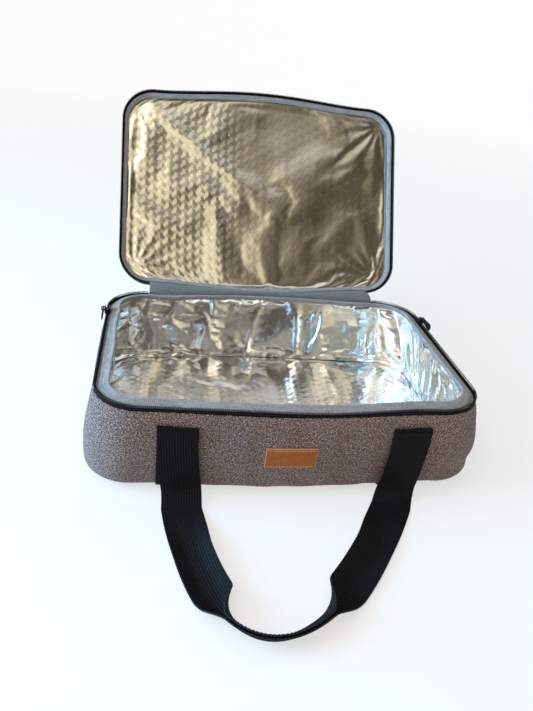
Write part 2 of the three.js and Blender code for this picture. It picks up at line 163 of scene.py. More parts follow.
# %% From wires to a material
def finish(name, wires, **constants):
    """A Principled material. Constants go on its sockets, and wires is a function that gives its links."""
    material = bpy.data.materials.new(name)
    material.use_nodes = True
    shader = material.node_tree.nodes["Principled BSDF"]
    for key, value in constants.items():
        shader.inputs[key.replace("_", " ")].default_value = value
    for key, wire in wires(Wire(material.node_tree)).items():
        material.node_tree.links.new(wire.socket, shader.inputs[key.replace("_", " ")])
    return material


def flat_map(start):
    """The piece's own UV map, which every sheet here carries in metres of cloth."""
    return start.add("TexCoord", out=2)


def solid_map(start):
    """Object coordinates, for a grain that doesn't follow a weave."""
    return start.add("TexCoord", out=3)


def threads(flat, pitch):
    """Waves across both ways of a cloth at one pitch, as a plain weave stands up and down."""
    across, along = (way * (2 * math.pi / pitch) for way in flat.parts()[:2])
    return across.maths("SINE", across) * along.maths("SINE", along)


def wave(along, pitch):
    """A wave from 0 to 1, highest at 0 and then at every pitch."""
    turn = along * (2 * math.pi / pitch)
    return turn.maths("COSINE", turn) * 0.5 + 0.5


print("before the finishes:", len(bpy.data.materials), "materials")

# %% [markdown]
# ## Cloth finishes
# The body is heathered polyester. Dark, mid and pale threads lie beside each other, so the colour changes
# about every two millimetres along a thread and at once across it. Two noises, one stretched along each
# way of the weave, give those slubs, and the paler one shows. The binding is a plain grey tape with fine
# ribs, and the hinge strip has the same tape darker, as painted shade. The webbing is black nylon: nearly
# all of what is seen of it is the little light on its ribs and picks, so that light is painted into its
# colour, with painted shade in the grooves and a painted highlight on the crests. All of these read the
# flat map, so that the weave follows the cloth round a corner.

# %% Heather cloth
ALONG_THREAD, ACROSS_THREAD = 560, 1500  # noise cells to a metre
WEAVE_PITCH, WEAVE_DEPTH = 1.1 * MM, 0.25 * MM
YARNS = (
    (0.46, (0.022, 0.014, 0.011)), (0.53, (0.076, 0.049, 0.040)),
    (0.60, (0.210, 0.138, 0.110)), (0.68, (0.560, 0.400, 0.330)),
)
DULL, FRESH = (0.88, 0.83, 0.84, 1), (1.0, 0.98, 1.0, 1)


def heather_wires(start):
    flat = flat_map(start)
    weft = flat.stretched(ALONG_THREAD, ACROSS_THREAD, 1).noise(1.0, 1.0)
    warp = flat.stretched(ACROSS_THREAD, ALONG_THREAD, 1).noise(1.0, 1.0)
    slub = weft.maths("MAXIMUM", weft, warp)
    patchy = flat.noise(14.0).span(0.3, 0.7).mix(DULL, FRESH)
    multiply = {"data_type": "RGBA", "blend_type": "MULTIPLY"}
    colour = start.add("Mix", multiply, out=2, i0=1.0, i6=slub.ramp(*YARNS), i7=patchy)
    height = threads(flat, WEAVE_PITCH) * 0.4 + slub
    return {"Base_Color": colour, "Roughness": slub * 0.2 + 0.78, "Normal": height.bump(WEAVE_DEPTH, 0.7)}


heather = finish("heather_cloth", heather_wires, Sheen_Weight=0.08, Sheen_Roughness=0.6)
print("heather:", len(YARNS), "yarn colours")

# %% Binding and webbing
TAPE_RIB, TAPE_DEPTH = 1.4 * MM, 0.2 * MM
WEB_WIDTH, RIBS = 38 * MM, 15
RIB_PITCH, PICK_PITCH, PICK_SLANT, WEB_DEPTH = WEB_WIDTH / RIBS, 2.1 * MM, 0.6 * MM, 0.4 * MM
# The webbing's colours run from painted shade in the grooves to a painted highlight on the crests.
WEB_GROOVE_SHADE_TO_CREST_HIGHLIGHT = (
    (0.22, (0.0004, 0.0004, 0.0005)), (0.50, (0.0056, 0.0050, 0.0056)), (0.76, (0.0270, 0.0240, 0.0262)),
)


def tape_wires(dark, pale):
    """A ribbed tape between two colours."""

    def wires(start):
        flat = flat_map(start)
        worn = flat.stretched(60, 300, 1).noise(1.0, 3.0)
        fine = flat.stretched(800, 260, 1).noise(1.0)
        height = threads(flat, TAPE_RIB) + fine * 0.5
        return {
            "Base_Color": (worn * 0.4 + fine * 0.6).ramp((0.34, dark), (0.66, pale)),
            "Roughness": fine * 0.2 + 0.62,
            "Normal": height.bump(TAPE_DEPTH, 0.8),
        }

    return wires


def webbing_wires(start):
    flat = flat_map(start)
    across, along, _ = flat.parts()
    rib = wave(across, RIB_PITCH)
    pick = wave(along + rib * PICK_SLANT, PICK_PITCH)
    fine = flat.stretched(500, 900, 1).noise(1.0)
    dusty = flat.noise(25.0, 3.0)
    # Painted highlight on the crests of ribs and picks, mixed with random grain and dust.
    painted_highlight_grain_and_dust = rib * 0.28 + pick * 0.27 + fine * 0.35 + dusty * 0.1
    height = rib * 0.6 + pick * 0.4 + fine * 0.3
    return {
        "Base_Color": painted_highlight_grain_and_dust.ramp(*WEB_GROOVE_SHADE_TO_CREST_HIGHLIGHT),
        "Roughness": dusty * 0.25 + 0.6,
        "Normal": height.bump(WEB_DEPTH, 0.9),
    }


pale_tape = tape_wires((0.166, 0.153, 0.145), (0.400, 0.369, 0.348))
binding = finish("grey_binding", pale_tape, Sheen_Weight=0.15, Sheen_Roughness=0.5)
# The hinge strip gets the binding's tape at about half its brightness: painted shade for the shadow it lies
# in between lid and rim.
painted_shade_tape = tape_wires((0.080, 0.075, 0.074), (0.175, 0.164, 0.160))
hinge_tape_painted_shade = finish("hinge_tape_painted_shade", painted_shade_tape, Sheen_Weight=0.1)
webbing = finish("black_webbing", webbing_wires, Specular_IOR_Level=0.08)
print("cloth finishes:", binding.name, hinge_tape_painted_shade.name, webbing.name)

# %% [markdown]
# ## Foil, leather and hardware finishes
# The lining is a film faced with metal, so it is a metal to the light, with fine crinkles that break up
# its shine. It is embossed with small blocks. They are raised in the mesh further down, and the same
# blocks are repeated here as a bump, which keeps their edges crisp. The film is made twice: silver in the
# tub, and in the lid with a warm tint, which is painted reflection of the brown room around it. The lid's
# film is drawn taut on the right, so its blocks are shallow there.
# The patch is smooth tan leather with a close grain and a pale cut edge. Thread, coil, puller, foam and
# board are small or hidden, and each still gets its own grain.


# %% Embossed foil
BLOCK = 6.9 * MM
BLOCK_FACING = [(math.cos(a), math.sin(a), 0) for a in np.radians([90, 210, 330])]
CELL_HALF = (1.5, math.sqrt(3) / 2, 0.5)
TAUT_UP_TO, LOOSE_FROM, DRIFT = 0.32, 0.37, 0.24  # metres over the lid's film, and how far noise moves that


def block_height(flat):
    """Raised blocks in a honeycomb: three facets fall from the middle of each cell, which is 1 high."""
    place = flat.stretched(1 / BLOCK, 1 / BLOCK, 1)
    cell_back = tuple(-x for x in CELL_HALF)
    starts = (place, place.vectors("SUBTRACT", place, CELL_HALF))
    wrapped = [place.vectors("WRAP", start, CELL_HALF, cell_back) for start in starts]
    flats = [v.vectors("MULTIPLY", v, (1, 1, 0)) for v in wrapped]
    reach = [v.vectors("LENGTH", v, out="Value") for v in flats]
    first = reach[0].maths("LESS_THAN", *reach)
    off = first.add("Mix", {"data_type": "VECTOR"}, out=1, i0=first, i4=flats[1], i5=flats[0])
    falls = [off.vectors("DOT_PRODUCT", off, way, out="Value") for way in BLOCK_FACING]
    return 1 - falls[0].maths("MAXIMUM", falls[0], falls[1].maths("MAXIMUM", falls[1], falls[2]))


def foil_wires(dark, pale, loose, taut):
    """Metal film with blocks of two depths in millimetres. The lid's flat map starts at its taut right."""

    def wires(start):
        flat = flat_map(start)
        crinkle = flat.noise(420.0, 4.0, 0.6)
        smudge = flat.noise(22.0, 3.0)
        slack = (flat.parts()[0] + flat.noise(15.0) * DRIFT).span(TAUT_UP_TO, LOOSE_FROM)
        depth = slack * (loose - taut) + taut
        return {
            "Base_Color": (smudge * 0.6 + crinkle * 0.4).ramp((0.3, dark), (0.7, pale)),
            "Roughness": smudge * 0.12 + 0.12,
            "Normal": (block_height(flat) * depth + crinkle * 0.05).bump(MM),
        }

    return wires


foil = finish("silver_foil", foil_wires((0.68, 0.67, 0.64), (0.84, 0.84, 0.82), 0.12, 0.12), Metallic=1.0)
# The lid's copy of the film is tinted warm: painted reflection of the brown room in front of it.
lid_film_painted_reflection = finish("lid_foil", foil_wires((0.66, 0.61, 0.50), (0.80, 0.76, 0.66), 0.26, 0.05), Metallic=1.0)
print("films:", foil.name, "and", lid_film_painted_reflection.name, "with blocks", round(BLOCK / MM, 1), "mm in radius")

# %% Leather, thread, coil, metal, foam and board
PATCH_HALF, PATCH_RISE = 25 * MM, 11.5 * MM
CUT_EDGE, CUT_FADE, CUT_COLOUR = 0.3 * MM, 1.0 * MM, (0.50, 0.27, 0.11, 1)
LEATHER_DEPTH = 0.2 * MM


def leather_wires(start):
    place = solid_map(start)
    grain = place.add("TexVoronoi", {"feature": "SMOOTH_F1"}, Vector=place, Scale=900.0, Smoothness=0.6)
    mottled = place.noise(160.0, 4.0, 0.6)
    face = mottled.ramp((0.3, (0.245, 0.063, 0.004)), (0.7, (0.345, 0.095, 0.007)))
    across, up, _ = flat_map(start).parts()
    from_side = across.maths("MINIMUM", across, 2 * PATCH_HALF - across)
    from_end = up.maths("MINIMUM", up, 2 * PATCH_RISE - up)
    inside = from_side.maths("MINIMUM", from_side, from_end)
    return {
        "Base_Color": inside.span(CUT_EDGE, CUT_FADE).mix(CUT_COLOUR, face),
        "Roughness": mottled * 0.2 + 0.42,
        "Normal": (grain * 0.6 + mottled).bump(LEATHER_DEPTH, 0.5),
    }


def grain_wires(dark, pale, scale, rough, depth):
    """A finish for a small or hidden piece: one noise for its colour, its roughness and its surface."""

    def wires(start):
        grain = solid_map(start).noise(scale, 3.0, 0.6)
        return {
            "Base_Color": grain.ramp((0.35, dark), (0.65, pale)),
            "Roughness": grain * 0.2 + rough,
            "Normal": grain.bump(depth, 0.6),
        }

    return wires


THREAD, COIL, ENAMEL = (2400.0, 0.5, 0.1 * MM), (900.0, 0.32, 0.05 * MM), (700.0, 0.3, 0.04 * MM)
FOAM, BOARD = (650.0, 0.75, 0.3 * MM), (500.0, 0.7, 0.1 * MM)
leather = finish("tan_leather", leather_wires, Specular_IOR_Level=0.3)
black_wires = grain_wires((0.003, 0.003, 0.0035), (0.012, 0.012, 0.013), *THREAD)
black_thread = finish("black_thread", black_wires, Specular_IOR_Level=0.15)
grey_thread = finish("grey_thread", grain_wires((0.16, 0.165, 0.18), (0.42, 0.43, 0.46), *THREAD))
tan_thread = finish("tan_thread", grain_wires((0.55, 0.34, 0.16), (0.85, 0.62, 0.36), *THREAD))
coil_wires = grain_wires((0.004, 0.004, 0.005), (0.012, 0.012, 0.013), *COIL)
nylon = finish("black_nylon_coil", coil_wires, Specular_IOR_Level=0.2)
enamel_wires = grain_wires((0.012, 0.012, 0.014), (0.035, 0.035, 0.04), *ENAMEL)
dark_metal = finish("black_enamel", enamel_wires, Metallic=0.7)
foam = finish("white_foam", grain_wires((0.62, 0.61, 0.57), (0.82, 0.81, 0.77), *FOAM))
board = finish("grey_board", grain_wires((0.10, 0.092, 0.08), (0.17, 0.16, 0.14), *BOARD))
print("finishes:", len(bpy.data.materials), "materials in all")

# %% [markdown]
# ## The outline that everything follows
# Wall, lining, tapes, coil and lid all follow one plan: a rounded rectangle with bowed ends. It could be
# drawn as a curve and offset for each piece. Here it is a function instead, of how far round one is, how
# far in from the outside, and how high, so any piece can ask for any place. The wall spreads at its sides
# and tucks in at its ends towards the base, as in the frame.

# %% Plan of the carrier
HALF_WIDTH, HALF_DEPTH, CORNER, BOW = 192 * MM, 135 * MM, 48 * MM, 8 * MM
WALL_Z, SIDE_SPREAD, END_SWELL, BASE_TUCK = 90 * MM, 10 * MM, 5 * MM, 9 * MM
RUN_X, RUN_Y = HALF_WIDTH - CORNER, HALF_DEPTH - CORNER
ARC = CORNER * math.pi / 2
HALF_ROUND = RUN_X + ARC + 2 * RUN_Y + ARC + RUN_X
ROUND = 2 * HALF_ROUND


def spread(z):
    return SIDE_SPREAD * (1 - np.minimum(z / WALL_Z, 1) ** 2)


def swell(z):
    share = np.minimum(z / WALL_Z, 1)
    return END_SWELL * np.sin(np.pi * share) - BASE_TUCK * (1 - share)


def end_face(x, z):
    """How far the front or back face is from the middle."""
    share = np.clip(x / (RUN_X + spread(z)), -1, 1)
    return HALF_DEPTH + swell(z) + BOW * (1 - share**2) ** 2


def around(t, inset, z):
    """Points on the plan. t goes from 0 at the middle of the back over the right and the front to 1."""
    t, inset, z = np.broadcast_arrays(np.asarray(t, float) % 1, inset, z)
    side = np.where(t <= 0.5, 1.0, -1.0)
    s = np.where(t <= 0.5, t, 1 - t) * ROUND
    run_x, run_y, r = RUN_X + spread(z), RUN_Y + swell(z), CORNER - inset
    marks = np.cumsum([RUN_X, ARC, 2 * RUN_Y, ARC])
    back_x, front_x = run_x * s / RUN_X, run_x * (HALF_ROUND - s) / RUN_X
    turn_back, turn_front = (s - marks[0]) / CORNER, (s - marks[2]) / CORNER
    down_side = (s - marks[1]) / (2 * RUN_Y)
    on_back = end_face(back_x, z) - inset
    on_front = inset - end_face(front_x, z)
    x_parts = [back_x, run_x + r * np.sin(turn_back), run_x + r, run_x + r * np.cos(turn_front)]
    on_side = run_y * (1 - 2 * down_side)
    y_parts = [on_back, run_y + r * np.cos(turn_back), on_side, -run_y - r * np.sin(turn_front)]
    part = [s < mark for mark in marks]
    x, y = np.select(part, x_parts, front_x), np.select(part, y_parts, on_front)
    return np.stack([side * x, y, z], axis=-1)


print("way round the plan:", round(ROUND, 4), "m")


# %% Directions, waves and fades
def outward(t, inset, z):
    """The level direction out of the plan at that place."""
    step = around(t, inset - 0.5 * MM, z) - around(t, inset + 0.5 * MM, z)
    return step / np.linalg.norm(step, axis=-1, keepdims=True)


def pushed(t, inset, z, amount):
    """A move out of the plan, in millimetres."""
    return outward(t, inset, z) * (amount * MM)[:, None]


def upward(amount):
    """A move straight up, in metres."""
    return np.stack([0 * amount, 0 * amount, amount], -1)


def ripple(points, size, seed, waves=9):
    """Smooth seeded waves, about 1 high, whose humps are roughly that size in metres."""
    draw = np.random.default_rng(seed)
    heading = draw.normal(size=(points.shape[-1], waves))
    heading *= draw.uniform(0.6, 1.5, waves) / np.linalg.norm(heading, axis=0) / size
    start = draw.uniform(0, 2 * np.pi, waves)
    return np.sin(2 * np.pi * points @ heading + start).sum(-1) / math.sqrt(waves)


def smooth(low, high, x):
    """0 up to low, 1 from high on, and a soft step between. With low above high it falls instead."""
    share = np.clip((x - low) / (high - low), 0, 1)
    return share * share * (3 - 2 * share)


print("out of the plan at its front:", outward(0.5, 0.0, WALL_Z).round(3))

# %% [markdown]
# ## How a sheet is made
# Every cloth piece starts as a grid. Each vertex of it goes to its sewn place, and the UV map keeps the
# flat size of the cloth in metres, so that a weave is as fine on one piece as on the next. Solidify then
# gives the cloth its thickness. Large cloth and foil pieces go through Blender's cloth simulation first:
# the sheet is pinned at its seams and grows a little, so it buckles as a loose lining does.


# %% Reading and moving a mesh
def read(items, key, width, kind=np.float32):
    """One attribute of a mesh as an array, with a row for each item."""
    values = np.empty(len(items) * width, kind)
    items.foreach_get(key, values)
    return values.reshape(-1, width)


def points_of(piece):
    return read(piece.data.vertices, "co", 3).astype(float)


def normals_of(piece):
    return read(piece.data.vertex_normals, "vector", 3).astype(float)


def move_points(piece, points):
    piece.data.vertices.foreach_set("co", np.asarray(points, np.float32).ravel())
    piece.data.update()


def flat_places(piece):
    """Each vertex's place on the flat cloth, in metres."""
    corner = read(piece.data.loops, "vertex_index", 1, np.int32)[:, 0]
    places = np.empty((len(piece.data.vertices), 2))
    places[corner] = read(piece.data.uv_layers.active.data, "uv", 2)
    return places


def edge_share(piece, flat):
    """How near each vertex of a panel is to its edge: 0 in the middle and 1 at the edge."""
    return np.maximum(*np.abs(flat_places(piece) / (flat[0] / 2, flat[1] / 2) - 1).T)


# %% Laying a sheet
def only(piece):
    """Makes a piece the one that operators act on."""
    bpy.ops.object.select_all(action="DESELECT")
    piece.select_set(True)
    bpy.context.view_layer.objects.active = piece


def lay_sheet(name, columns, rows, flat, place):
    """A grid of cloth with its flat size in metres and each vertex at place(u, v), both from 0 to 1."""
    bpy.ops.object.select_all(action="DESELECT")
    bpy.ops.mesh.primitive_grid_add(x_subdivisions=columns, y_subdivisions=rows, size=1)
    sheet = bpy.context.object
    sheet.name = sheet.data.name = name
    grid = points_of(sheet)
    corners = sheet.data.uv_layers.active.data
    corners.foreach_set("uv", (read(corners, "uv", 2) * np.asarray(flat, np.float32)).ravel())
    move_points(sheet, place(grid[:, 0] + 0.5, grid[:, 1] + 0.5))
    bpy.ops.object.mode_set(mode="EDIT")
    bpy.ops.mesh.select_all(action="SELECT")
    bpy.ops.mesh.remove_doubles(threshold=1e-6)
    bpy.ops.object.mode_set(mode="OBJECT")
    return sheet


def apply(piece, kind, **settings):
    """Adds one modifier and applies it."""
    only(piece)
    modifier = piece.modifiers.new(kind.title(), kind)
    for key, value in settings.items():
        setattr(modifier, key, value)
    bpy.ops.object.modifier_apply(modifier=modifier.name)
    return piece


def thicken(piece, thickness, offset=-1.0):
    return apply(piece, "SOLIDIFY", thickness=thickness, offset=offset)


def soften(piece):
    return apply(piece, "SUBSURF", levels=1, render_levels=1)


def ready(piece, material, body, slot_name, *nodes):
    """The last step for each piece: its finish, smooth shading, its body and the nodes it stands for."""
    piece.data.materials.clear()
    piece.data.materials.append(material)
    only(piece)
    bpy.ops.object.shade_smooth()
    if body:
        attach(piece, body)
    if nodes:
        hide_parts(*nodes)
    print(f"{piece.name}: {len(piece.data.polygons)} faces")
    return piece


# %% Cloth simulation
FRAMES, SEAM_AT = 20, 0.985


def settle(piece, pinned, growth, cap, bending=0.05):
    """Cloth simulation of a sheet that is held where pinned is true and grows by a share of its size."""
    rest, facing = points_of(piece), normals_of(piece)
    group = piece.vertex_groups.new(name="seams")
    group.add([int(i) for i in np.flatnonzero(pinned)], 1.0, "REPLACE")
    cloth = piece.modifiers.new("Cloth", "CLOTH")
    settings = cloth.settings
    settings.quality, settings.mass, settings.air_damping = 4, 0.1, 2.0
    settings.tension_stiffness = settings.compression_stiffness = 20
    settings.shear_stiffness, settings.bending_stiffness = 8, bending
    settings.shrink_min = settings.shrink_max = -growth
    settings.vertex_group_mass = group.name
    settings.effector_weights.gravity = 0
    cloth.collision_settings.use_collision = False
    cloth.point_cache.frame_start, cloth.point_cache.frame_end = 1, FRAMES
    for step in range(1, FRAMES + 1):
        bpy.context.scene.frame_set(step)
    only(piece)
    bpy.ops.object.modifier_apply(modifier=cloth.name)
    piece.vertex_groups.clear()
    bpy.context.scene.frame_set(1)
    # What moved along the normals is eased off towards the cap, so that no fold reaches a neighbour.
    moved = points_of(piece) - rest
    off = (moved * facing).sum(-1, keepdims=True)
    low, high = cap
    kept = np.where(off > 0, high * np.tanh(off / high), low * np.tanh(off / low))
    move_points(piece, rest + moved - facing * off + facing * kept)
    print(f"{piece.name}: settled by {np.abs(off).max() / MM:.1f} mm, kept in {low / MM:g} to {high / MM:g}")
    return piece


print(f"simulation of {FRAMES} frames for each loose sheet")

# %% [markdown]
# A tape or wall is a section carried round the plan. The section is a list of places in millimetres, each
# with how far in and how high it is, and it is read along its own length so that the rows stay even. A
# panel fills the plan at one height instead.


# %% Sections round the plan
def reach_along(line):
    """How far along a line each of its points is."""
    return np.concatenate([[0], np.cumsum(np.linalg.norm(np.diff(line, axis=0), axis=1))])


def along_section(section, v):
    """In and up, in metres, at each share v of a section's length."""
    corners = np.array(section, float) * MM
    reach = reach_along(corners)
    return [np.interp(v * reach[-1], reach, corners[:, k]) for k in (0, 1)]


def section_length(section):
    return reach_along(np.array(section, float))[-1] * MM


def ring_sheet(name, columns, rows, section, start=0.0, stop=1.0, inward=False, shape=None, then=None):
    """A section carried round the plan, facing out or in. Two functions may shape it and then turn it."""

    def place(u, v):
        t = start + (stop - start) * (u if inward else 1 - u)
        inset, z = along_section(section, v)
        points = around(t, inset, z)
        if shape:
            points = points + shape(t, inset, z, points)
        return then(points) if then else points

    return lay_sheet(name, columns, rows, (ROUND * (stop - start), section_length(section)), place)


def pan_points(u, v, inset, z=WALL_Z):
    """Level places inside the plan at one height, u and v from -1 to 1, as x and y."""
    run_x, run_y, r = RUN_X + spread(z), RUN_Y + swell(z), CORNER - inset
    y = v * (run_y + r)
    beyond = np.clip(np.abs(y) - run_y, 0, r)
    x = u * (run_x + np.sqrt(r * r - beyond**2))
    bow = BOW * (1 - np.clip(x / run_x, -1, 1) ** 2) ** 2
    return x, y + np.sign(v) * np.abs(v) ** 3 * bow


print("width of a panel at the rim:", round(2 * float(pan_points(1.0, 0.0, 0.0)[0]), 4), "m")

# %% [markdown]
# ## Outer cloth
# One long strip of heather cloth goes round the carrier and is sewn to a bottom panel with round corners.
# On the real one it sits over foam, so it is nearly smooth, with shallow dents, and it lies flat where the
# straps and the patch hold it. The wall is laid with slow waves and a tuck at one lower corner, and then
# the simulation loosens it between its seams.

# %% Where the wall is held
TABLE_CLEAR, BASE_ROUND = 1.9 * MM, 12 * MM
BASE_TOP = TABLE_CLEAR + BASE_ROUND
STRAP_X, STRAP_HALF, STRAP_TOP = 112 * MM, WEB_WIDTH / 2, 78 * MM
PATCH_X, PATCH_Z = -5 * MM, 49.5 * MM
TUCK_AT, TUCK_Z = (RUN_X + ARC + 2 * RUN_Y + ARC * 0.45) / ROUND, 27 * MM
TUCK_WIDE, TUCK_HIGH, WALL_TUCK, FOAM_TUCK = 34 * MM, 11 * MM, 3.2, 2.6


def held(points):
    """1 where a strap or the patch holds the wall flat, fading to 0 beside it."""
    x, y, z = points.T
    beside = np.abs(np.abs(x) - STRAP_X)
    strap = (np.abs(y) > 0.1) * (1 - smooth(STRAP_HALF + 1 * MM, STRAP_HALF + 16 * MM, beside))
    off = np.maximum(np.abs(x - PATCH_X) - PATCH_HALF, np.abs(z - PATCH_Z) - PATCH_RISE)
    return np.maximum(strap, (y < 0) * (1 - smooth(1 * MM, 14 * MM, off)))


def tuck(t, z):
    """1 in the middle of the dent at the lower right corner of the front."""
    return np.exp(-(((t - TUCK_AT) * ROUND / TUCK_WIDE) ** 2) - ((z - TUCK_Z) / TUCK_HIGH) ** 2)


print("the tuck is at", around(TUCK_AT, 0.0, TUCK_Z).round(3))

# %% Wall and bottom
CLOTH = 1.1 * MM
turn = np.linspace(math.pi / 2, 0, 8)
base_round = np.stack([BASE_ROUND * (1 - np.cos(turn)), BASE_TOP - BASE_ROUND * np.sin(turn)], -1) / MM
wall_section = [*base_round, (0, 91.2), (0.15, 92.0), (0.6, 92.6)]


def wall_shape(t, inset, z, points):
    loose = smooth(4 * MM, 24 * MM, z) * (1 - smooth(74 * MM, 89 * MM, z)) * (1 - held(points))
    waves = 1.1 * ripple(points, 0.17, 3) + 0.45 * ripple(points * (1, 1, 0.4), 0.05, 4)
    return pushed(t, inset, z, waves * loose - WALL_TUCK * tuck(t, z))


wall = ring_sheet("wall_cloth", 240, 26, wall_section, shape=wall_shape)
wall_points = points_of(wall)
wall_seams = (wall_points[:, 2] < 6 * MM) | (wall_points[:, 2] > 88 * MM)
settle(wall, wall_seams | (held(wall_points) > 0.4), growth=0.012, cap=(-1.2 * MM, 2.2 * MM))
soften(wall)
thicken(wall, CLOTH)
ready(wall, heather, "body", "heather", "outer_wall")


def bottom_place(u, v):
    x, y = pan_points(1 - 2 * u, 2 * v - 1, BASE_ROUND + 0.2 * MM, TABLE_CLEAR)
    return np.stack([x, y, 0 * u + TABLE_CLEAR], -1)


bottom = lay_sheet("bottom_cloth", 60, 42, (0.40, 0.26), bottom_place)
thicken(bottom, CLOTH)
ready(bottom, heather, "body", "heather", "outer_bottom")

# %% [markdown]
# ## Padding
# Between the cloth and the lining lie sheets of white foam, and a stiff board lies under the floor. They
# are hidden in the finished carrier, so they are plain pads with soft edges. The wall's pad follows the
# tuck of the cloth. The board is rigid, so its CAD solid stays.


# %% Foam pads
def slab(name, inset, low, high, then=None, plan_z=WALL_Z):
    """A flat pad inside the plan, from one height to another."""

    def place(u, v):
        x, y = pan_points(2 * u - 1, 2 * v - 1, inset, plan_z)
        points = np.stack([x, y, 0 * u + high], -1)
        return then(points) if then else points

    pad = lay_sheet(name, 40, 28, (0.36, 0.25), place)
    thicken(pad, high - low)
    return apply(pad, "BEVEL", width=1.2 * MM, segments=2, limit_method="ANGLE")


def wall_pad_shape(t, inset, z, points):
    return pushed(t, inset, z, -FOAM_TUCK * tuck(t, z) * (inset < 4 * MM))


wall_pad_section = [
    (2.7, 15), (2.4, 17), (2.4, 77), (3, 79), (5.4, 79), (6.0, 77), (6.0, 17), (5.5, 15), (2.7, 15),
]
wall_pad = ring_sheet("wall_pad", 160, 28, wall_pad_section, shape=wall_pad_shape)
ready(wall_pad, foam, "body", "foam", "wall_foam")
floor_pad = slab("floor_pad", 7 * MM, 5.8 * MM, 11.2 * MM, plan_z=9 * MM)
ready(floor_pad, foam, "body", "foam", "bottom_foam")


# %% Base board
def dress(node, material, bevel):
    """A rigid CAD node keeps its shape: live modifiers weld and soften it, and its finish changes."""
    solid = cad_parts[node]
    solid.data.materials.clear()
    solid.data.materials.append(material)
    solid.modifiers.new("Weld", "WELD").merge_threshold = 1e-6
    edges = solid.modifiers.new("Edges", "BEVEL")
    edges.width, edges.segments = bevel, 2
    edges.limit_method, edges.angle_limit = "ANGLE", math.radians(40)
    print(f"{node}: CAD solid with a finish of {material.name}")


dress("base_board", board, 0.4 * MM)

# %% [markdown]
# ## Foil lining
# The tub's lining is a band of foil film with a floor panel. It is cut larger than the foam, so it hangs
# in loose folds that catch the light. The simulation makes those folds: the band is pinned along its two
# seams and grows by a few parts in a hundred. The film is embossed with small blocks, which is a surface
# of three-sided peaks on a honeycomb of places.


# %% Embossing
def blocks(places):
    """Height of the raised blocks on a flat film: in each cell, three facets fall from the middle."""
    x, y = places[:, 0] / BLOCK, places[:, 1] / BLOCK
    cube = np.stack([2 / 3 * x, y / math.sqrt(3) - x / 3, -y / math.sqrt(3) - x / 3], -1)
    near = np.round(cube)
    worst = np.abs(near - cube).argmax(-1)
    near[np.arange(len(near)), worst] -= near.sum(-1)
    centre = np.stack([1.5 * near[:, 0], math.sqrt(3) * (near[:, 1] + near[:, 0] / 2)], -1)
    off = np.stack([x, y], -1) - centre
    return 1 - (off @ np.array(BLOCK_FACING)[:, :2].T).max(-1)


def emboss(piece, depth, even=1.0):
    """Raises the blocks along the normals, less where even is near 0."""
    lift = blocks(flat_places(piece)) * depth * even
    move_points(piece, points_of(piece) + normals_of(piece) * lift[:, None])
    print(f"{piece.name}: embossed up to {lift.max() / MM:.2f} mm")


print("columns of blocks are", round(1.5 * BLOCK / MM, 2), "mm apart")

# %% Tub lining
FILM = 0.35 * MM
foil_section = [
    (9.4, 13.0), (8.2, 14.5), (7.8, 18), (7.8, 55), (8.6, 70), (10.6, 84), (13.2, 93.5), (14.2, 96.4),
]


def tub_shape(t, inset, z, points):
    loose = smooth(14 * MM, 26 * MM, z) * (1 - smooth(84 * MM, 95 * MM, z))
    slack = 1.6 * ripple(points * (1, 1, 0.5), 0.11, 11) + 1.0 * ripple(points * (1, 1, 0.35), 0.04, 12)
    return pushed(t, inset, z, -np.abs(slack) * loose)


tub = ring_sheet("tub_foil", 360, 28, foil_section, inward=True, shape=tub_shape)
tub_z = points_of(tub)[:, 2]
tub_seams = (tub_z < 13.4 * MM) | (tub_z > 95.6 * MM)
settle(tub, tub_seams, growth=0.05, cap=(-0.4 * MM, 7 * MM), bending=0.02)
soften(tub)
emboss(tub, 0.2 * MM)
thicken(tub, FILM)
ready(tub, foil, "body", "foil", "liner")

# %% Tub floor
FLOOR_Z, FLOOR_IN, FLOOR_FLAT = 12.6 * MM, 9.2 * MM, (0.384, 0.25)


def floor_place(u, v):
    a, b = 2 * u - 1, 2 * v - 1
    x, y = pan_points(a, b, FLOOR_IN, FLOOR_Z)
    inner = smooth(1.0, 0.86, np.maximum(np.abs(a), np.abs(b)))
    lift = inner * (0.8 + 0.6 * ripple(np.stack([x, y], -1), 0.12, 21)) * MM
    return np.stack([x, y, FLOOR_Z + lift], -1)


tub_floor = lay_sheet("floor_foil", 100, 68, FLOOR_FLAT, floor_place)
floor_seam = edge_share(tub_floor, FLOOR_FLAT) > SEAM_AT
settle(tub_floor, floor_seam, growth=0.014, cap=(-0.3 * MM, 3 * MM), bending=0.02)
soften(tub_floor)
emboss(tub_floor, 0.25 * MM)
thicken(tub_floor, FILM)
ready(tub_floor, foil, "body", "foil", "liner")

# %% [markdown]
# ## Rim: binding, zipper tape and coil
# Along the rim a black zipper tape stands up from the wall and carries half of a coil zipper. Behind it a
# grey tape folds over the raw edges of foam and foil and leans in over the tub. Between the two runs a
# gutter, where the inner plate of the slider travels. The coil is a row of small nylon turns: one turn is
# modelled and then laid several hundred times, so it has few faces. Stitches are made in the same way.

# %% Rim binding and zipper tape
BINDING, ZIP_TAPE = 0.7 * MM, 0.8 * MM
ZIP_START = RUN_X / ROUND
RIM_RISE, RIM_TURNS, RIM_FROM = 0.7 * MM, 7.5, 0.37
binding_section = [
    (3.0, 90.5), (3.2, 93.8), (5.6, 94.2), (6.5, 96.3), (11.5, 98.5), (15.0, 100.2), (16.1, 99.8),
    (16.0, 97.6), (14.4, 94.2),
]
body_tape_section = [(1.6, 82), (1.6, 96.2)]


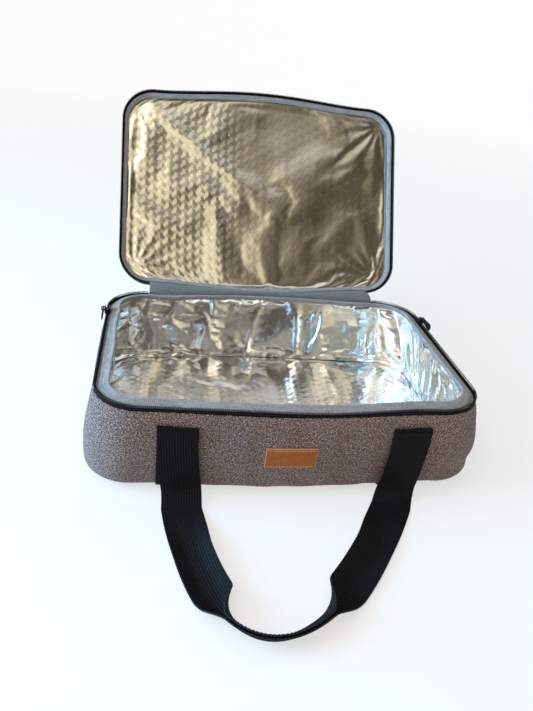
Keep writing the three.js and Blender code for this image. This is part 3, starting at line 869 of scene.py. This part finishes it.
def rim_wave(t, *_):
    """The front of the rim rises and falls a little. The straight sides stay level for the sliders."""
    front = smooth(RIM_FROM, 0.42, t) * smooth(1 - RIM_FROM, 0.58, t)
    return upward(front * RIM_RISE * np.sin(2 * np.pi * (t - RIM_FROM) * RIM_TURNS))


def binding_shape(t, inset, z, points):
    free = smooth(5 * MM, 12 * MM, inset)
    slack = ripple(points * (1, 1, 0.3), 0.09, 31) * 0.6 + ripple(points, 0.022, 32) * 0.3
    front = smooth(0.39, 0.43, t) * smooth(0.61, 0.57, t) * smooth(3.4 * MM, 6 * MM, inset)
    sag = upward(-np.abs(slack) * free * MM)
    return sag + rim_wave(t) + pushed(t, inset, z, 1.6 * front - free * slack * 0.8)


rim_tape = ring_sheet("rim_binding_tape", 360, 26, binding_section, shape=binding_shape)
thicken(rim_tape, BINDING)
ready(rim_tape, binding, "body", "binding", "rim_binding")

body_tape = ring_sheet("body_zip_tape", 320, 10, body_tape_section, ZIP_START, 1 - ZIP_START, shape=rim_wave)
thicken(body_tape, ZIP_TAPE)
ready(body_tape, webbing, "body", "zipper", "body_tape")
ROUND * (1 - 2 * ZIP_START)


# %% Repeats along a line
def spaced(line, pitch):
    """Places along a line of points every pitch metres, and the direction of the line there."""
    reach = reach_along(line)
    at = np.arange(pitch / 2, reach[-1], pitch)

    def place(s):
        return np.stack([np.interp(s, reach, line[:, k]) for k in range(3)], -1)

    return place(at), place(np.minimum(at + pitch / 4, reach[-1])) - place(at - pitch / 4)


def repeat(name, proto, line, pitch, out):
    """One small mesh laid along a line. Its x runs along the line and its z points out of the surface."""
    places, along = spaced(line, pitch)
    shape = points_of(proto)
    quads = [list(face.vertices) for face in proto.data.polygons]
    along = along / np.linalg.norm(along, axis=1, keepdims=True)
    across = np.cross(np.broadcast_to(out, places.shape), along)
    across /= np.linalg.norm(across, axis=1, keepdims=True)
    up = np.cross(along, across)
    points = (
        places[:, None]
        + shape[None, :, :1] * along[:, None]
        + shape[None, :, 1:2] * across[:, None]
        + shape[None, :, 2:] * up[:, None]
    )
    faces = [[k * len(shape) + i for i in face] for k in range(len(places)) for face in quads]
    mesh = bpy.data.meshes.new(name)
    mesh.from_pydata(points.reshape(-1, 3), [], faces)
    row = bpy.data.objects.new(name, mesh)
    bpy.context.scene.collection.objects.link(row)
    bpy.data.objects.remove(proto)
    print(f"{name}: {len(places)} laid")
    return row


# %% Coil turn and stitch
COIL_RADIUS, COIL_WIRE, COIL_TIP, COIL_TALL, COIL_PITCH = 1.02 * MM, 0.36 * MM, 0.32, 1.02, 1.7 * MM
STITCH_PITCH, STITCH_LENGTH, STITCH_RADIUS, STITCH_FLAT = 3.2 * MM, 2.4 * MM, 0.32 * MM, 0.7


def coil_turn():
    """One turn of the zipper coil: a small oval ring, tipped a little along the tape."""
    bpy.ops.object.select_all(action="DESELECT")
    bpy.ops.mesh.primitive_torus_add(
        major_segments=9, minor_segments=4, major_radius=COIL_RADIUS, minor_radius=COIL_WIRE,
        rotation=(0, math.pi / 2, 0),
    )
    ring = bpy.context.object
    bpy.ops.object.transform_apply(location=True, rotation=True, scale=True)
    points = points_of(ring)
    points[:, 0] += points[:, 2] * COIL_TIP
    points[:, 2] *= COIL_TALL
    move_points(ring, points)
    return ring


def stitch(length, radius):
    """One stitch: a short thread, round and thin at its two ends."""
    bpy.ops.object.select_all(action="DESELECT")
    bpy.ops.mesh.primitive_uv_sphere_add(segments=6, ring_count=5, radius=1, rotation=(0, math.pi / 2, 0))
    thread = bpy.context.object
    bpy.ops.object.transform_apply(location=True, rotation=True, scale=True)
    move_points(thread, points_of(thread) * (length / 2, radius, radius * STITCH_FLAT))
    return thread


def sew(
    name, line, out, material, body, slot_name,
    pitch=STITCH_PITCH, length=STITCH_LENGTH, radius=STITCH_RADIUS,
):
    """A row of stitches along a line on a surface that faces out."""
    return ready(repeat(name, stitch(length, radius), line, pitch, out), material, body, slot_name)


print("a turn every", round(COIL_PITCH / MM, 1), "mm and a stitch every", round(STITCH_PITCH / MM, 1), "mm")

# %% Body coil and rim stitches
UP = (0.0, 0.0, 1.0)
zip_t = np.linspace(ZIP_START, 1 - ZIP_START, 1600)
zip_line = around(zip_t, 2.0 * MM, 97.6 * MM) + rim_wave(zip_t)
body_coil = repeat("body_zip_coil", coil_turn(), zip_line, COIL_PITCH, UP)
ready(body_coil, nylon, "body", "zipper", "body_coil")

ring_t = np.linspace(0, 1, 1600)
rim_seam = around(ring_t, 8.6 * MM, 97.55 * MM) + rim_wave(ring_t)
sew("rim_stitches", rim_seam, UP, grey_thread, "body", "binding")

# %% [markdown]
# ## Webbing straps and patch
# Two straps of black webbing run down the front, under the base and up the back. At the top each one folds
# over towards the outside, and there the carrying loop hangs from it. Webbing is woven in ribs along its
# length, and these are real ridges here, because the light picks them out. The small leather patch is sewn
# on with a row of stitches at its top and bottom, and its face is bare.

# %% A strap's line and ribs
FIT, WEB, HANG_GAP, RIB_DEPTH = 0.3 * MM, 1.6 * MM, 0.7 * MM, 0.11 * MM
LOOP_FACE = -(end_face(STRAP_X - STRAP_HALF, STRAP_TOP) + FIT + WEB + HANG_GAP)
WALL_ROWS, UNDER_Y, FOLD_TALL = 24, -60 * MM, 1.25


def ribbed(piece):
    """Raises lengthwise ribs on a strip of webbing, with a flat selvedge at each edge."""
    across = flat_places(piece)[:, 0] / WEB_WIDTH
    inside = smooth(0.0, 0.04, across) * smooth(1.0, 0.96, across)
    lift = np.cos(2 * np.pi * RIBS * across) * RIB_DEPTH * inside
    move_points(piece, points_of(piece) + normals_of(piece) * lift[:, None])


def strap_line(x, rise=0.0):
    """A strap's middle line at one x, as y and z: from the front fold down, under the base and up again."""
    turn = np.linspace(0.2, 1.57, 8)
    z = np.concatenate([np.linspace(STRAP_TOP, BASE_TOP, WALL_ROWS), BASE_TOP - BASE_ROUND * np.sin(turn)])
    inset = np.concatenate([np.zeros(WALL_ROWS), BASE_ROUND * (1 - np.cos(turn))])
    wall_line = np.stack([inset - end_face(x, z), z], -1)
    wall_line = np.concatenate([wall_line, [[UNDER_Y, TABLE_CLEAR], [0, TABLE_CLEAR]]])
    slope = np.gradient(wall_line, axis=0)
    slope /= np.linalg.norm(slope, axis=1, keepdims=True)
    line = wall_line + np.stack([slope[:, 1], -slope[:, 0]], -1) * (FIT + WEB / 2 + rise)
    hang = LOOP_FACE - WEB / 2 - rise
    middle, radius = (hang + line[0, 0]) / 2, (line[0, 0] - hang) / 2
    bend = np.linspace(math.pi, 0.15, 9)
    fold = np.stack([middle + radius * np.cos(bend), STRAP_TOP + FOLD_TALL * radius * np.sin(bend)], -1)
    half = np.concatenate([fold, line])
    return np.concatenate([half, half[-2::-1] * (-1, 1)])


STRAP_LENGTH = reach_along(strap_line(STRAP_X))[-1]
print("webbing in a strap:", round(STRAP_LENGTH, 3), "m")

# %% Straps
OUT_FRONT = (0.0, -1.0, 0.0)
STRAP_SEAM, SEAM_LOW, SEAM_HIGH = 16 * MM, 6 * MM, 74 * MM


def strap_points(centre, u, v):
    points = np.empty((len(u), 3))
    for share in np.unique(u):
        here = u == share
        x = centre + STRAP_HALF * (1 - 2 * share)
        line = strap_line(x)
        reach = reach_along(line)
        at = v[here] * reach[-1]
        y, z = (np.interp(at, reach, line[:, k]) for k in (0, 1))
        points[here] = np.stack([0 * at + x, y, z], -1)
    return points


def web_strip(name, rows, length, place, body, node):
    """A ribbed strip of webbing, with its finish, smooth shading and body."""
    strip = lay_sheet(name, 60, rows, (WEB_WIDTH, length), place)
    ribbed(strip)
    thicken(strip, WEB - 2 * RIB_DEPTH, 0.0)
    return ready(strip, webbing, body, "webbing", node)


for side, centre in (("left", -STRAP_X), ("right", STRAP_X)):
    strap = web_strip(
        f"{side}_webbing_strap", 150, STRAP_LENGTH, lambda u, v: strap_points(centre, u, v),
        "body", f"{side}_strap",
    )
    for k, edge_x in enumerate((centre - STRAP_SEAM, centre + STRAP_SEAM)):
        line = strap_line(edge_x, WEB / 2)
        face = np.column_stack([0 * line[:, 0] + edge_x, line])
        up_front = face[(face[:, 1] < -0.1) & (face[:, 2] < SEAM_HIGH) & (face[:, 2] > SEAM_LOW)]
        sew(f"{side}_strap_stitches_{k}", up_front, OUT_FRONT, black_thread, "body", "webbing")

# %% Leather patch
PATCH_THICK, PROUD = 1.6 * MM, 0.1 * MM


def patch_points(u, v, proud):
    x, z = PATCH_X + PATCH_HALF * (2 * u - 1), PATCH_Z + PATCH_RISE * (2 * v - 1)
    return np.stack([x, -end_face(x, z) - FIT - proud, z], -1)


patch = lay_sheet(
    "leather_patch", 24, 12, (2 * PATCH_HALF, 2 * PATCH_RISE), lambda u, v: patch_points(u, v, PATCH_THICK)
)
thicken(patch, PATCH_THICK - 0.1 * MM)
apply(patch, "BEVEL", width=0.5 * MM, segments=3, limit_method="ANGLE", angle_limit=math.radians(50))
ready(patch, leather, "body", "patch", "label_patch")
share = np.linspace(0.05, 0.95, 40)
for k, v in enumerate((0.1, 0.9)):
    row = patch_points(share, 0 * share + v, PATCH_THICK + PROUD)
    sew(
        f"patch_stitches_{k}", row, OUT_FRONT, tan_thread, "body", "patch",
        pitch=2.6 * MM, length=1.7 * MM, radius=0.28 * MM,
    )

# %% [markdown]
# ## Carrying loops
# Each loop hangs from the folds at the tops of the two straps, bends out onto the table and lies there in
# a long curve. In the grip the webbing is folded in half lengthwise, so it stands on its crease there. A
# strip of webbing is a surface with one line along it: at each place the line has a direction and a face,
# and the section across is flat at the top of the legs, cupped where they lie down, and closed up like a
# book in the grip.

# %% The loop's line
LOOP_REACH, LOOP_HALF, LOOP_LEAN, BEND = 164 * MM, 108 * MM, -38 * MM, 16 * MM
CUP_START, CUP_END, FLARE_START, FLARE_END, CUP = 104 * MM, 78 * MM, 56 * MM, 34 * MM, 0.36
LEG_ROWS, BEND_ROWS, CURVE_ROWS = 25, 16, 80


def half_loop(sign):
    """Middle line, face and fold of one half of a loop, from its top to the middle of the grip."""
    leg, bend = STRAP_TOP - BEND, BEND * math.pi / 2
    landing = math.sqrt(1 - BEND / LOOP_REACH)
    angle = np.linspace(0, math.pi / 2, BEND_ROWS)
    down = np.linspace(0, leg, LEG_ROWS + 1)[:-1]
    run = np.concatenate([down, leg + BEND * angle])
    share = landing * np.linspace(1, 0, CURVE_ROWS)[1:]
    x = STRAP_X + (LOOP_HALF * landing - STRAP_X) * (run / (leg + bend)) ** 2
    x = np.concatenate([x, LOOP_HALF * share])
    out = np.concatenate([0 * down, BEND * (1 - np.cos(angle)), LOOP_REACH * (1 - share**2)])
    z = np.concatenate([STRAP_TOP - FIT - down, BEND * (1 - np.sin(angle)), 0 * share])
    tilt = np.concatenate([0 * down, angle, 0 * share + math.pi / 2])
    fold = 1 - CUP * smooth(CUP_END, CUP_START, x) - (1 - CUP) * smooth(FLARE_END, FLARE_START, x)
    fold[: LEG_ROWS + BEND_ROWS] = 0
    place = np.stack([sign * x + LOOP_LEAN * out / LOOP_REACH, LOOP_FACE - out, z + FIT], -1)
    return place, np.stack([0 * tilt, -np.cos(tilt), np.sin(tilt)], -1), fold


left_half, right_half = half_loop(-1), half_loop(1)
loop_line, loop_face, loop_fold = (
    np.concatenate([here, there[-2::-1]]) for here, there in zip(left_half, right_half)
)
loop_reach = reach_along(loop_line)
LOOP_LENGTH = loop_reach[-1]
print("webbing in a loop:", round(LOOP_LENGTH, 3), "m")

# %% The loop's surface
GRIP_FOLD, GRIP_LEAN, CREASE, CUP_ROUND = math.radians(91), math.radians(36), 2.4 * MM, 14 * MM


def along_loop(values, at):
    return np.stack([np.interp(at, loop_reach, values[:, k]) for k in range(3)], -1)


def loop_points(u, v, proud=0.0):
    """Places on a loop's webbing, u across it and v along it from 0 to 1, proud of its middle layer."""
    at = v * LOOP_LENGTH
    place, face = along_loop(loop_line, at), along_loop(loop_face, at)
    fold = np.interp(at, loop_reach, loop_fold)
    along = along_loop(np.gradient(loop_line, axis=0), at)
    along /= np.linalg.norm(along, axis=1, keepdims=True)
    across = np.cross(along, face)
    across /= np.linalg.norm(across, axis=1, keepdims=True)
    out = np.cross(across, along)
    lean = (GRIP_LEAN * fold)[:, None]
    raised = place + out * (WEB * np.sin(lean))
    tipped_out = out * np.cos(lean) + across * np.sin(lean)
    tipped_across = across * np.cos(lean) - out * np.sin(lean)
    off = STRAP_HALF * (2 * u - 1)
    steps = np.linspace(0, 1, 60)
    round_by = CREASE + CUP_ROUND * (1 - fold)
    opened = GRIP_FOLD * fold[:, None] * smooth(0, round_by[:, None], np.abs(off)[:, None] * steps)
    wide, high = (part(opened).mean(axis=1) * np.abs(off) for part in (np.cos, np.sin))
    tip = GRIP_FOLD * fold * smooth(0, round_by, np.abs(off))
    wide, high = np.sign(off) * (wide - proud * np.sin(tip)), high + proud * np.cos(tip) + WEB / 2
    return raised + tipped_across * wide[:, None] + tipped_out * high[:, None]


crease_line = loop_points(np.full(9, 0.5), np.linspace(0, 1, 9))
print("lowest point of a loop's crease:", round(crease_line[:, 2].min(), 4), "m")

# %% Loops and their stitches
for end, sign in (("front", 1), ("back", -1)):
    turned = (sign, sign, 1)
    loop = web_strip(
        f"{end}_webbing_loop", 300, LOOP_LENGTH, lambda u, v: loop_points(1 - u, v) * turned,
        f"{end}_loop", f"{end}_handle",
    )
    share = np.linspace(0.06, 0.94, 40)
    for k, v in enumerate((0.300, 0.312, 0.688, 0.700)):
        row = loop_points(share, 0 * share + v, WEB / 2 + PROUD) * turned
        row_name = f"{end}_loop_cross_stitches_{k}"
        sew(row_name, row, UP, black_thread, f"{end}_loop", "webbing", pitch=2.53 * MM)
    grip = np.linspace(0.36, 0.64, 160)
    seam = loop_points(0 * grip + 0.07, grip, -WEB / 2 - PROUD) * turned
    sew(f"{end}_grip_stitches", seam, (0.0, -0.9 * sign, 0.4), black_thread, f"{end}_loop", "webbing")

# %% [markdown]
# ## Lid
# The lid is made closed, over the tub, and every point is then swung open about the hinge, just as the
# frame has it. From the outside in it has a cloth band and top panel, a pad, the foil panel, the grey tape
# that binds the edge, and the other half of the zipper. The foil panel is pinned at its edge. Creases come
# out of its corners, because there the cut film has the most to spare, and a few long soft folds cross it.

# %% Swinging the lid open
HINGE_Y, HINGE_Z, OPEN = 145 * MM, 87 * MM, math.radians(119.5)


def swung(points):
    y, z = points[..., 1] - HINGE_Y, points[..., 2] - HINGE_Z
    c, s = math.cos(OPEN), math.sin(OPEN)
    return np.stack([points[..., 0], HINGE_Y + y * c + z * s, HINGE_Z - y * s + z * c], -1)


LID_UP = swung(np.array([0, HINGE_Y, HINGE_Z + 1])) - (0, HINGE_Y, HINGE_Z)
print("the top of the open lid faces", LID_UP.round(3))

# %% Lid cloth
TOP_FLAT, LID_CROWN, LID_EDGE = (0.36, 0.255), 4.2, 1.6
lid_curve = [(16 - 8 * math.cos(a), 113.1 + 8 * math.sin(a)) for a in np.linspace(0, 1.15, 8)]
band_section = [(8, 108.3), *lid_curve]
SEAM_IN, SEAM_UP = lid_curve[-1]


def band_shape(t, inset, z, points):
    slack = ripple(points * (1, 1, 0.5), 0.1, 41) * 0.35
    return pushed(t, inset, z, slack * smooth(108 * MM, 111 * MM, z))


def lid_top_place(u, v):
    a, b = 2 * u - 1, 2 * v - 1
    x, y = pan_points(a, b, (SEAM_IN + 0.2) * MM)
    edge = np.maximum(np.abs(a), np.abs(b))
    crown = smooth(1.0, 0.9, edge) * LID_EDGE + LID_CROWN * (1 - a**2) * (1 - b**2)
    dents = 0.7 * ripple(np.stack([x, y], -1), 0.13, 42) * smooth(1.0, 0.85, edge)
    return swung(np.stack([x, y, (SEAM_UP - 0.3 + crown + dents) * MM], -1))


lid_band = ring_sheet("lid_band_cloth", 220, 14, band_section, shape=band_shape, then=swung)
thicken(lid_band, CLOTH)
ready(lid_band, heather, "lid", "heather", "lid_cover")

lid_top = lay_sheet("lid_top_cloth", 100, 70, TOP_FLAT, lid_top_place)
settle(lid_top, edge_share(lid_top, TOP_FLAT) > SEAM_AT, growth=0.01, cap=(-1.5 * MM, 2.5 * MM))
soften(lid_top)
thicken(lid_top, CLOTH)
ready(lid_top, heather, "lid", "heather", "lid_cover")

# %% Lid pad and top seam
lid_pad = slab("lid_pad", 18 * MM, 114.6 * MM, 119.4 * MM, then=swung)
ready(lid_pad, foam, "lid", "foam", "lid_foam")
lid_t = np.linspace(0, 1, 1200)
lid_seam = swung(around(lid_t, (SEAM_IN + 3.4) * MM, (SEAM_UP + 1.05) * MM))
sew("lid_seam_stitches", lid_seam, LID_UP, black_thread, "lid", "heather")

# %% Folds of the lid foil
FOLD_FROM, FOLD_DIES, FOLD_HIGH = 20 * MM, 34 * MM, 1.3
BELLY_Y = np.array([-110, -72, -40, -9, 29, 73, 123]) * MM
BELLY_X = np.array([186, 172, 117, 58, 22, 10, 17]) * MM
# Each long fold: its height, where it starts and stops, and its half width, all in millimetres.
LONG_FOLDS = (
    (1.2, (-160, -112), (-8, -4), 8), (0.8, (-62, 20), (-50, 124), 9),
    (0.5, (-2, 60), (12, 124), 8), (-0.4, (165, -105), (70, -20), 6),
)


def corner_folds(x, y):
    """Creases that run out of the four corners and die away towards the middle, in millimetres."""
    lift = 0 * x
    for k, (sx, sy) in enumerate(((-1, -1), (1, -1), (-1, 1), (1, 1))):
        dx, dy = sx * (RUN_X + FOLD_FROM) - x, sy * (RUN_Y + FOLD_FROM) - y
        away, bearing = np.hypot(dx, dy), np.arctan2(sy * dy, sx * dx)
        fade = smooth(3 * MM, 18 * MM, away) * np.exp(-away / FOLD_DIES)
        lift += fade * FOLD_HIGH * np.abs(np.sin(bearing * (6 + k) + k)) ** 2
    return lift


def long_fold(x, y, start, stop, wide):
    """A long soft fold from one place to another, 1 high along its line."""
    start, way = np.array(start) * MM, (np.array(stop) - start) * MM
    length = np.hypot(*way)
    share = ((x - start[0]) * way[0] + (y - start[1]) * way[1]) / length / length
    off = ((x - start[0]) * way[1] - (y - start[1]) * way[0]) / length
    return np.exp(-((off / (wide * MM)) ** 2)) * smooth(0, 0.2, share) * smooth(1.15, 0.7, share)


def belly(x, y):
    """A broad low swell along a bent line, in millimetres."""
    right_of = x - np.interp(y, BELLY_Y, BELLY_X)
    return 0.8 * smooth(-130 * MM, 0, right_of) * (1 - smooth(-4 * MM, 80 * MM, right_of))


print("long folds in the lid foil:", len(LONG_FOLDS))

# %% Lid foil
FOIL_FLAT, FOIL_IN, FOIL_UP = (0.356, 0.250), 14.4 * MM, 111.2
ROLL_AT, ROLL_WIDE, TAUT_SHARE = 0.966, 0.016, 0.25


def lid_foil_place(u, v):
    a, b = 1 - 2 * u, 2 * v - 1
    x, y = pan_points(a, b, FOIL_IN)
    edge, flat = np.maximum(np.abs(a), np.abs(b)), np.stack([x, y], -1)
    roll = (0.5 + 0.4 * ripple(flat, 0.05, 53)) * np.exp(-(((edge - ROLL_AT) / ROLL_WIDE) ** 2))
    folds = sum(high * long_fold(x, y, *line) for high, *line in LONG_FOLDS)
    slack = 0.35 * ripple(flat, 0.17, 51) + 0.15 * ripple(flat, 0.06, 52)
    inner = smooth(1.0, 0.93, edge) * (corner_folds(x, y) + belly(x, y) + folds + slack)
    return np.stack([x, y, (FOIL_UP - roll - inner) * MM], -1)


lid_foil = lay_sheet("lid_foil_panel", 124, 88, FOIL_FLAT, lid_foil_place)
foil_seam = edge_share(lid_foil, FOIL_FLAT) > SEAM_AT
settle(lid_foil, foil_seam, growth=0.003, cap=(-0.6 * MM, 0.9 * MM), bending=0.5)
soften(lid_foil)
on_left = smooth(20 * MM, -80 * MM, points_of(lid_foil)[:, 0])
deep = on_left * (1 - TAUT_SHARE) + TAUT_SHARE
emboss(lid_foil, 0.18 * MM, smooth(0.96, 0.9, edge_share(lid_foil, FOIL_FLAT)) * deep)
move_points(lid_foil, swung(points_of(lid_foil)))
thicken(lid_foil, FILM)
ready(lid_foil, lid_film_painted_reflection, "lid", "foil", "lid_liner")

# %% Lid binding
lid_binding_section = [
    (10.9, 107.0), (10.9, 104.4), (11.4, 103.6), (13.0, 104.4), (14.9, 105.8), (15.8, 107.0), (15.8, 110.4),
]


def lid_binding_shape(t, inset, z, points):
    free = smooth(11.5 * MM, 14 * MM, inset)
    slack = ripple(points * (1, 1, 0.3), 0.08, 61) * 0.4 + ripple(points, 0.03, 62) * 0.15
    return upward(slack * free * MM)


lid_edge = ring_sheet(
    "lid_binding_tape", 360, 22, lid_binding_section, inward=True, shape=lid_binding_shape, then=swung
)
thicken(lid_edge, BINDING)
ready(lid_edge, binding, "lid", "binding", "lid_binding")
lid_edge_seam = swung(around(lid_t, 12.6 * MM, 103.9 * MM))
sew("lid_binding_stitches", lid_edge_seam, -LID_UP, grey_thread, "lid", "binding")

# %% Lid half of the zipper
lid_zip_section = [(8.3, 102.0), (8.8, 104.2), (9.5, 107), (9.5, 112.6)]
lid_tape = ring_sheet("lid_zip_tape", 320, 8, lid_zip_section, ZIP_START, 1 - ZIP_START, then=swung)
thicken(lid_tape, ZIP_TAPE)
ready(lid_tape, webbing, "lid", "zipper", "lid_tape")
ROUND * (1 - 2 * ZIP_START)
lid_zip_line = swung(around(zip_t, 8.9 * MM, 100.8 * MM))
lid_coil = repeat("lid_zip_coil", coil_turn(), lid_zip_line, COIL_PITCH, -LID_UP)
ready(lid_coil, nylon, "lid", "zipper", "lid_coil")

# %% [markdown]
# ## Hinge and hardware
# A strip of grey cloth joins the back of the rim to the back of the lid. It is sewn to both, so it is bent
# between the two bodies instead of riding on one. Between its two seams it follows a smooth curve that
# leaves each seam straight. The sliders and pullers are rigid, so their CAD solids stay, with softened
# edges and a black enamel.

# %% Hinge cloth
HINGE_HALF, HINGE_LENGTH, LID_IN, PULL = RUN_X - FIT, 0.055, 8 * MM, 9 * MM
BODY_IN, TAPE_LOW, FOOT_Z, LAND_Z, LID_TOP_Z = 2.0 * MM, 80 * MM, 94.4 * MM, 102.6 * MM, 112.8 * MM
SEWN_BELOW, SEWN_ABOVE = 0.3, 0.72


def hinge_points(u, v):
    """Up the back of the rim, over in a curve to the lid and up the lid. v is from 0 to 1."""
    x = HINGE_HALF * (2 * u - 1)
    back = end_face(x, WALL_Z) - BODY_IN
    low, foot = (np.stack([x, back, 0 * x + z], -1) for z in (TAPE_LOW, FOOT_Z))
    land, high = (swung(np.stack([x, back - LID_IN, 0 * x + z], -1)) for z in (LAND_Z, LID_TOP_Z))
    k = np.clip((v - SEWN_BELOW) / (SEWN_ABOVE - SEWN_BELOW), 0, 1)[:, None]
    arch = (
        foot * (1 - k) ** 3
        + 3 * (foot + (0, 0, PULL)) * k * (1 - k) ** 2
        + 3 * (land - LID_UP * PULL) * k**2 * (1 - k)
        + land * k**3
    )
    rise = np.clip(v / SEWN_BELOW, 0, 1)[:, None]
    reach = np.clip((v - SEWN_ABOVE) / (1 - SEWN_ABOVE), 0, 1)[:, None]
    return arch + (low - foot) * (1 - rise) + (high - land) * reach


# The hinge's finish is the grey tape darkened with painted shade.
hinge = lay_sheet("hinge_cloth", 100, 40, (2 * HINGE_HALF, HINGE_LENGTH), hinge_points)
thicken(hinge, ZIP_TAPE, 0.0)
ready(hinge, hinge_tape_painted_shade, None, "binding", "hinge_strip")
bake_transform(hinge)
hinge_flat = (2 * HINGE_HALF, HINGE_LENGTH)

# %% Sliders and pullers
for side in ("left", "right"):
    dress(f"{side}_slider", dark_metal, 0.18 * MM)
    dress(f"{side}_puller", dark_metal, 0.3 * MM)

# %% [markdown]
# ## Stage and light
# A round pale floor turns up into a far wall on all sides, so there is no horizon. In front the wall is
# lower, because the open lid would mirror it as a white flash. To the camera, and in mirrors and glass,
# the floor is mixed with plain white, and what is left of its own colour keeps the shadow.
#
# The foil shows whatever stands around it, so the sky is a simple room: brown in front, white overhead,
# pale on the left, dark on the right, grey behind and blue at the far left, where the window is. Four soft
# lamps light the carrier: a warm key lamp high on the left, a small warm one low in front, a blue one at
# the window, and a weak warm one that fills the right.

# %% Floor
FLOOR_PATH = np.array(
    [(0, 0), (0.6, 0), (3.6, 0), (4.2, 0.06), (4.65, 0.28), (4.92, 0.7), (5.0, 1.2), (5.0, 3.4)]
)
WALL_FOOT, FRONT_AT, FRONT_WIDE, FRONT_CUT, FLOOR_DROP = 1.2, 0.75, 0.13, 0.77, 0.2 * MM
FLOOR_GREYS = ((0.3, (0.85, 0.85, 0.85)), (0.7, (0.88, 0.88, 0.88)))


def sweep(u, v):
    """u goes round the floor, from the right over the back, and v from its middle up to the wall's top."""
    place = v * (len(FLOOR_PATH) - 1)
    far, z = (np.interp(place, np.arange(len(FLOOR_PATH)), FLOOR_PATH[:, k]) for k in (0, 1))
    in_front = np.exp(-(((u - FRONT_AT) / FRONT_WIDE) ** 2))
    z = np.minimum(z, WALL_FOOT) + np.maximum(z - WALL_FOOT, 0) * (1 - FRONT_CUT * in_front)
    return np.stack([far * np.cos(2 * np.pi * u), far * np.sin(2 * np.pi * u), z - FLOOR_DROP], -1)


def floor_wires(start):
    return {"Base_Color": solid_map(start).noise(2.0).ramp(*FLOOR_GREYS)}


floor = lay_sheet("floor", 96, 42, (1, 1), sweep)
pale_floor = finish("pale_floor", floor_wires, Roughness=0.9, Specular_IOR_Level=0.1)
nodes = pale_floor.node_tree.nodes
lit = Wire(pale_floor.node_tree, nodes["Principled BSDF"].outputs[0])
kinds = ("Camera", "Glossy", "Transmission")
seen, glossy, through = (lit.add("LightPath", out=f"Is {kind} Ray") for kind in kinds)
white = lit.add("Emission", Color=(1, 1, 1, 1), Strength=1.0)
away = lit.vectors("LENGTH", solid_map(lit), out="Value")
whiter = away.span(0.5, 3.0) * 0.33 + 0.62
shown = lit.add("MixShader", i0=(seen + glossy + through).span(0, 1) * whiter, i1=lit, i2=white)
pale_floor.node_tree.links.new(shown.socket, nodes["Material Output"].inputs["Surface"])
floor.data.materials.append(pale_floor)
only(floor)
bpy.ops.object.shade_smooth()
print("floor:", len(floor.data.polygons), "faces,", FLOOR_PATH[-1, 0], "m in radius")

# %% Sky
BROWN, WHITE, PALE = (0.225, 0.189, 0.145, 1), (1.0, 1.0, 1.0, 1), (1.05, 0.97, 0.76, 1)
DARK, GREY, BLUE = (0.088, 0.071, 0.051, 1), (0.8, 0.8, 0.8, 1), (0.60, 0.92, 1.30, 1)
DARK_SLANT = 0.45

world = bpy.data.worlds.new("sky")
world.use_nodes = True
sky = Wire(world.node_tree)
x, y, z = sky.add("TexCoord").parts()
room = z.span(0.72, 1.0).mix(BROWN, WHITE)
room = (x * -1).span(-0.08, 0.05).mix(room, PALE)
room = (x - z * DARK_SLANT).span(-0.13, 0.03).mix(room, DARK)
room = y.span(0.1, 0.8).mix(room, GREY)
room = (x * -1).span(0.25, 0.85).mix(room, BLUE)
background = world.node_tree.nodes["Background"]
world.node_tree.links.new(room.socket, background.inputs["Color"])
background.inputs["Strength"].default_value = 1.0
bpy.context.scene.world = world
print("sky:", len(world.node_tree.nodes), "nodes")

# %% Lamps
WARM, GLOW, DAYLIGHT = (1.0, 0.84, 0.64), (1.0, 0.74, 0.50), (0.26, 0.59, 1.0)
# Each lamp: its place, what it points at, its size in metres, its power in watts and its colour.
LAMPS = {
    "key_lamp": ((-1.15, -0.70, 1.80), (0, 0.05, 0.1), 1.2, 8, WARM),
    "front_lamp": ((-0.70, -1.15, 0.50), (-0.1, -0.1, 0.05), 0.7, 2.4, GLOW),
    "window_lamp": ((-1.55, -0.05, 0.52), (0, 0, 0.1), 1.0, 60, DAYLIGHT),
    "fill_lamp": ((1.5, -1.0, 0.8), (0, 0, 0.1), 1.0, 0.8, WARM),
}

for name, (place, aim, size, power, colour) in LAMPS.items():
    bpy.ops.object.select_all(action="DESELECT")
    bpy.ops.object.light_add(type="AREA", location=place)
    light = bpy.context.object
    light.name = name
    light.rotation_euler = (Vector(aim) - Vector(place)).to_track_quat("-Z", "Y").to_euler()
    light.data.size, light.data.energy, light.data.color = size, power, colour
print("lamps:", ", ".join(LAMPS))
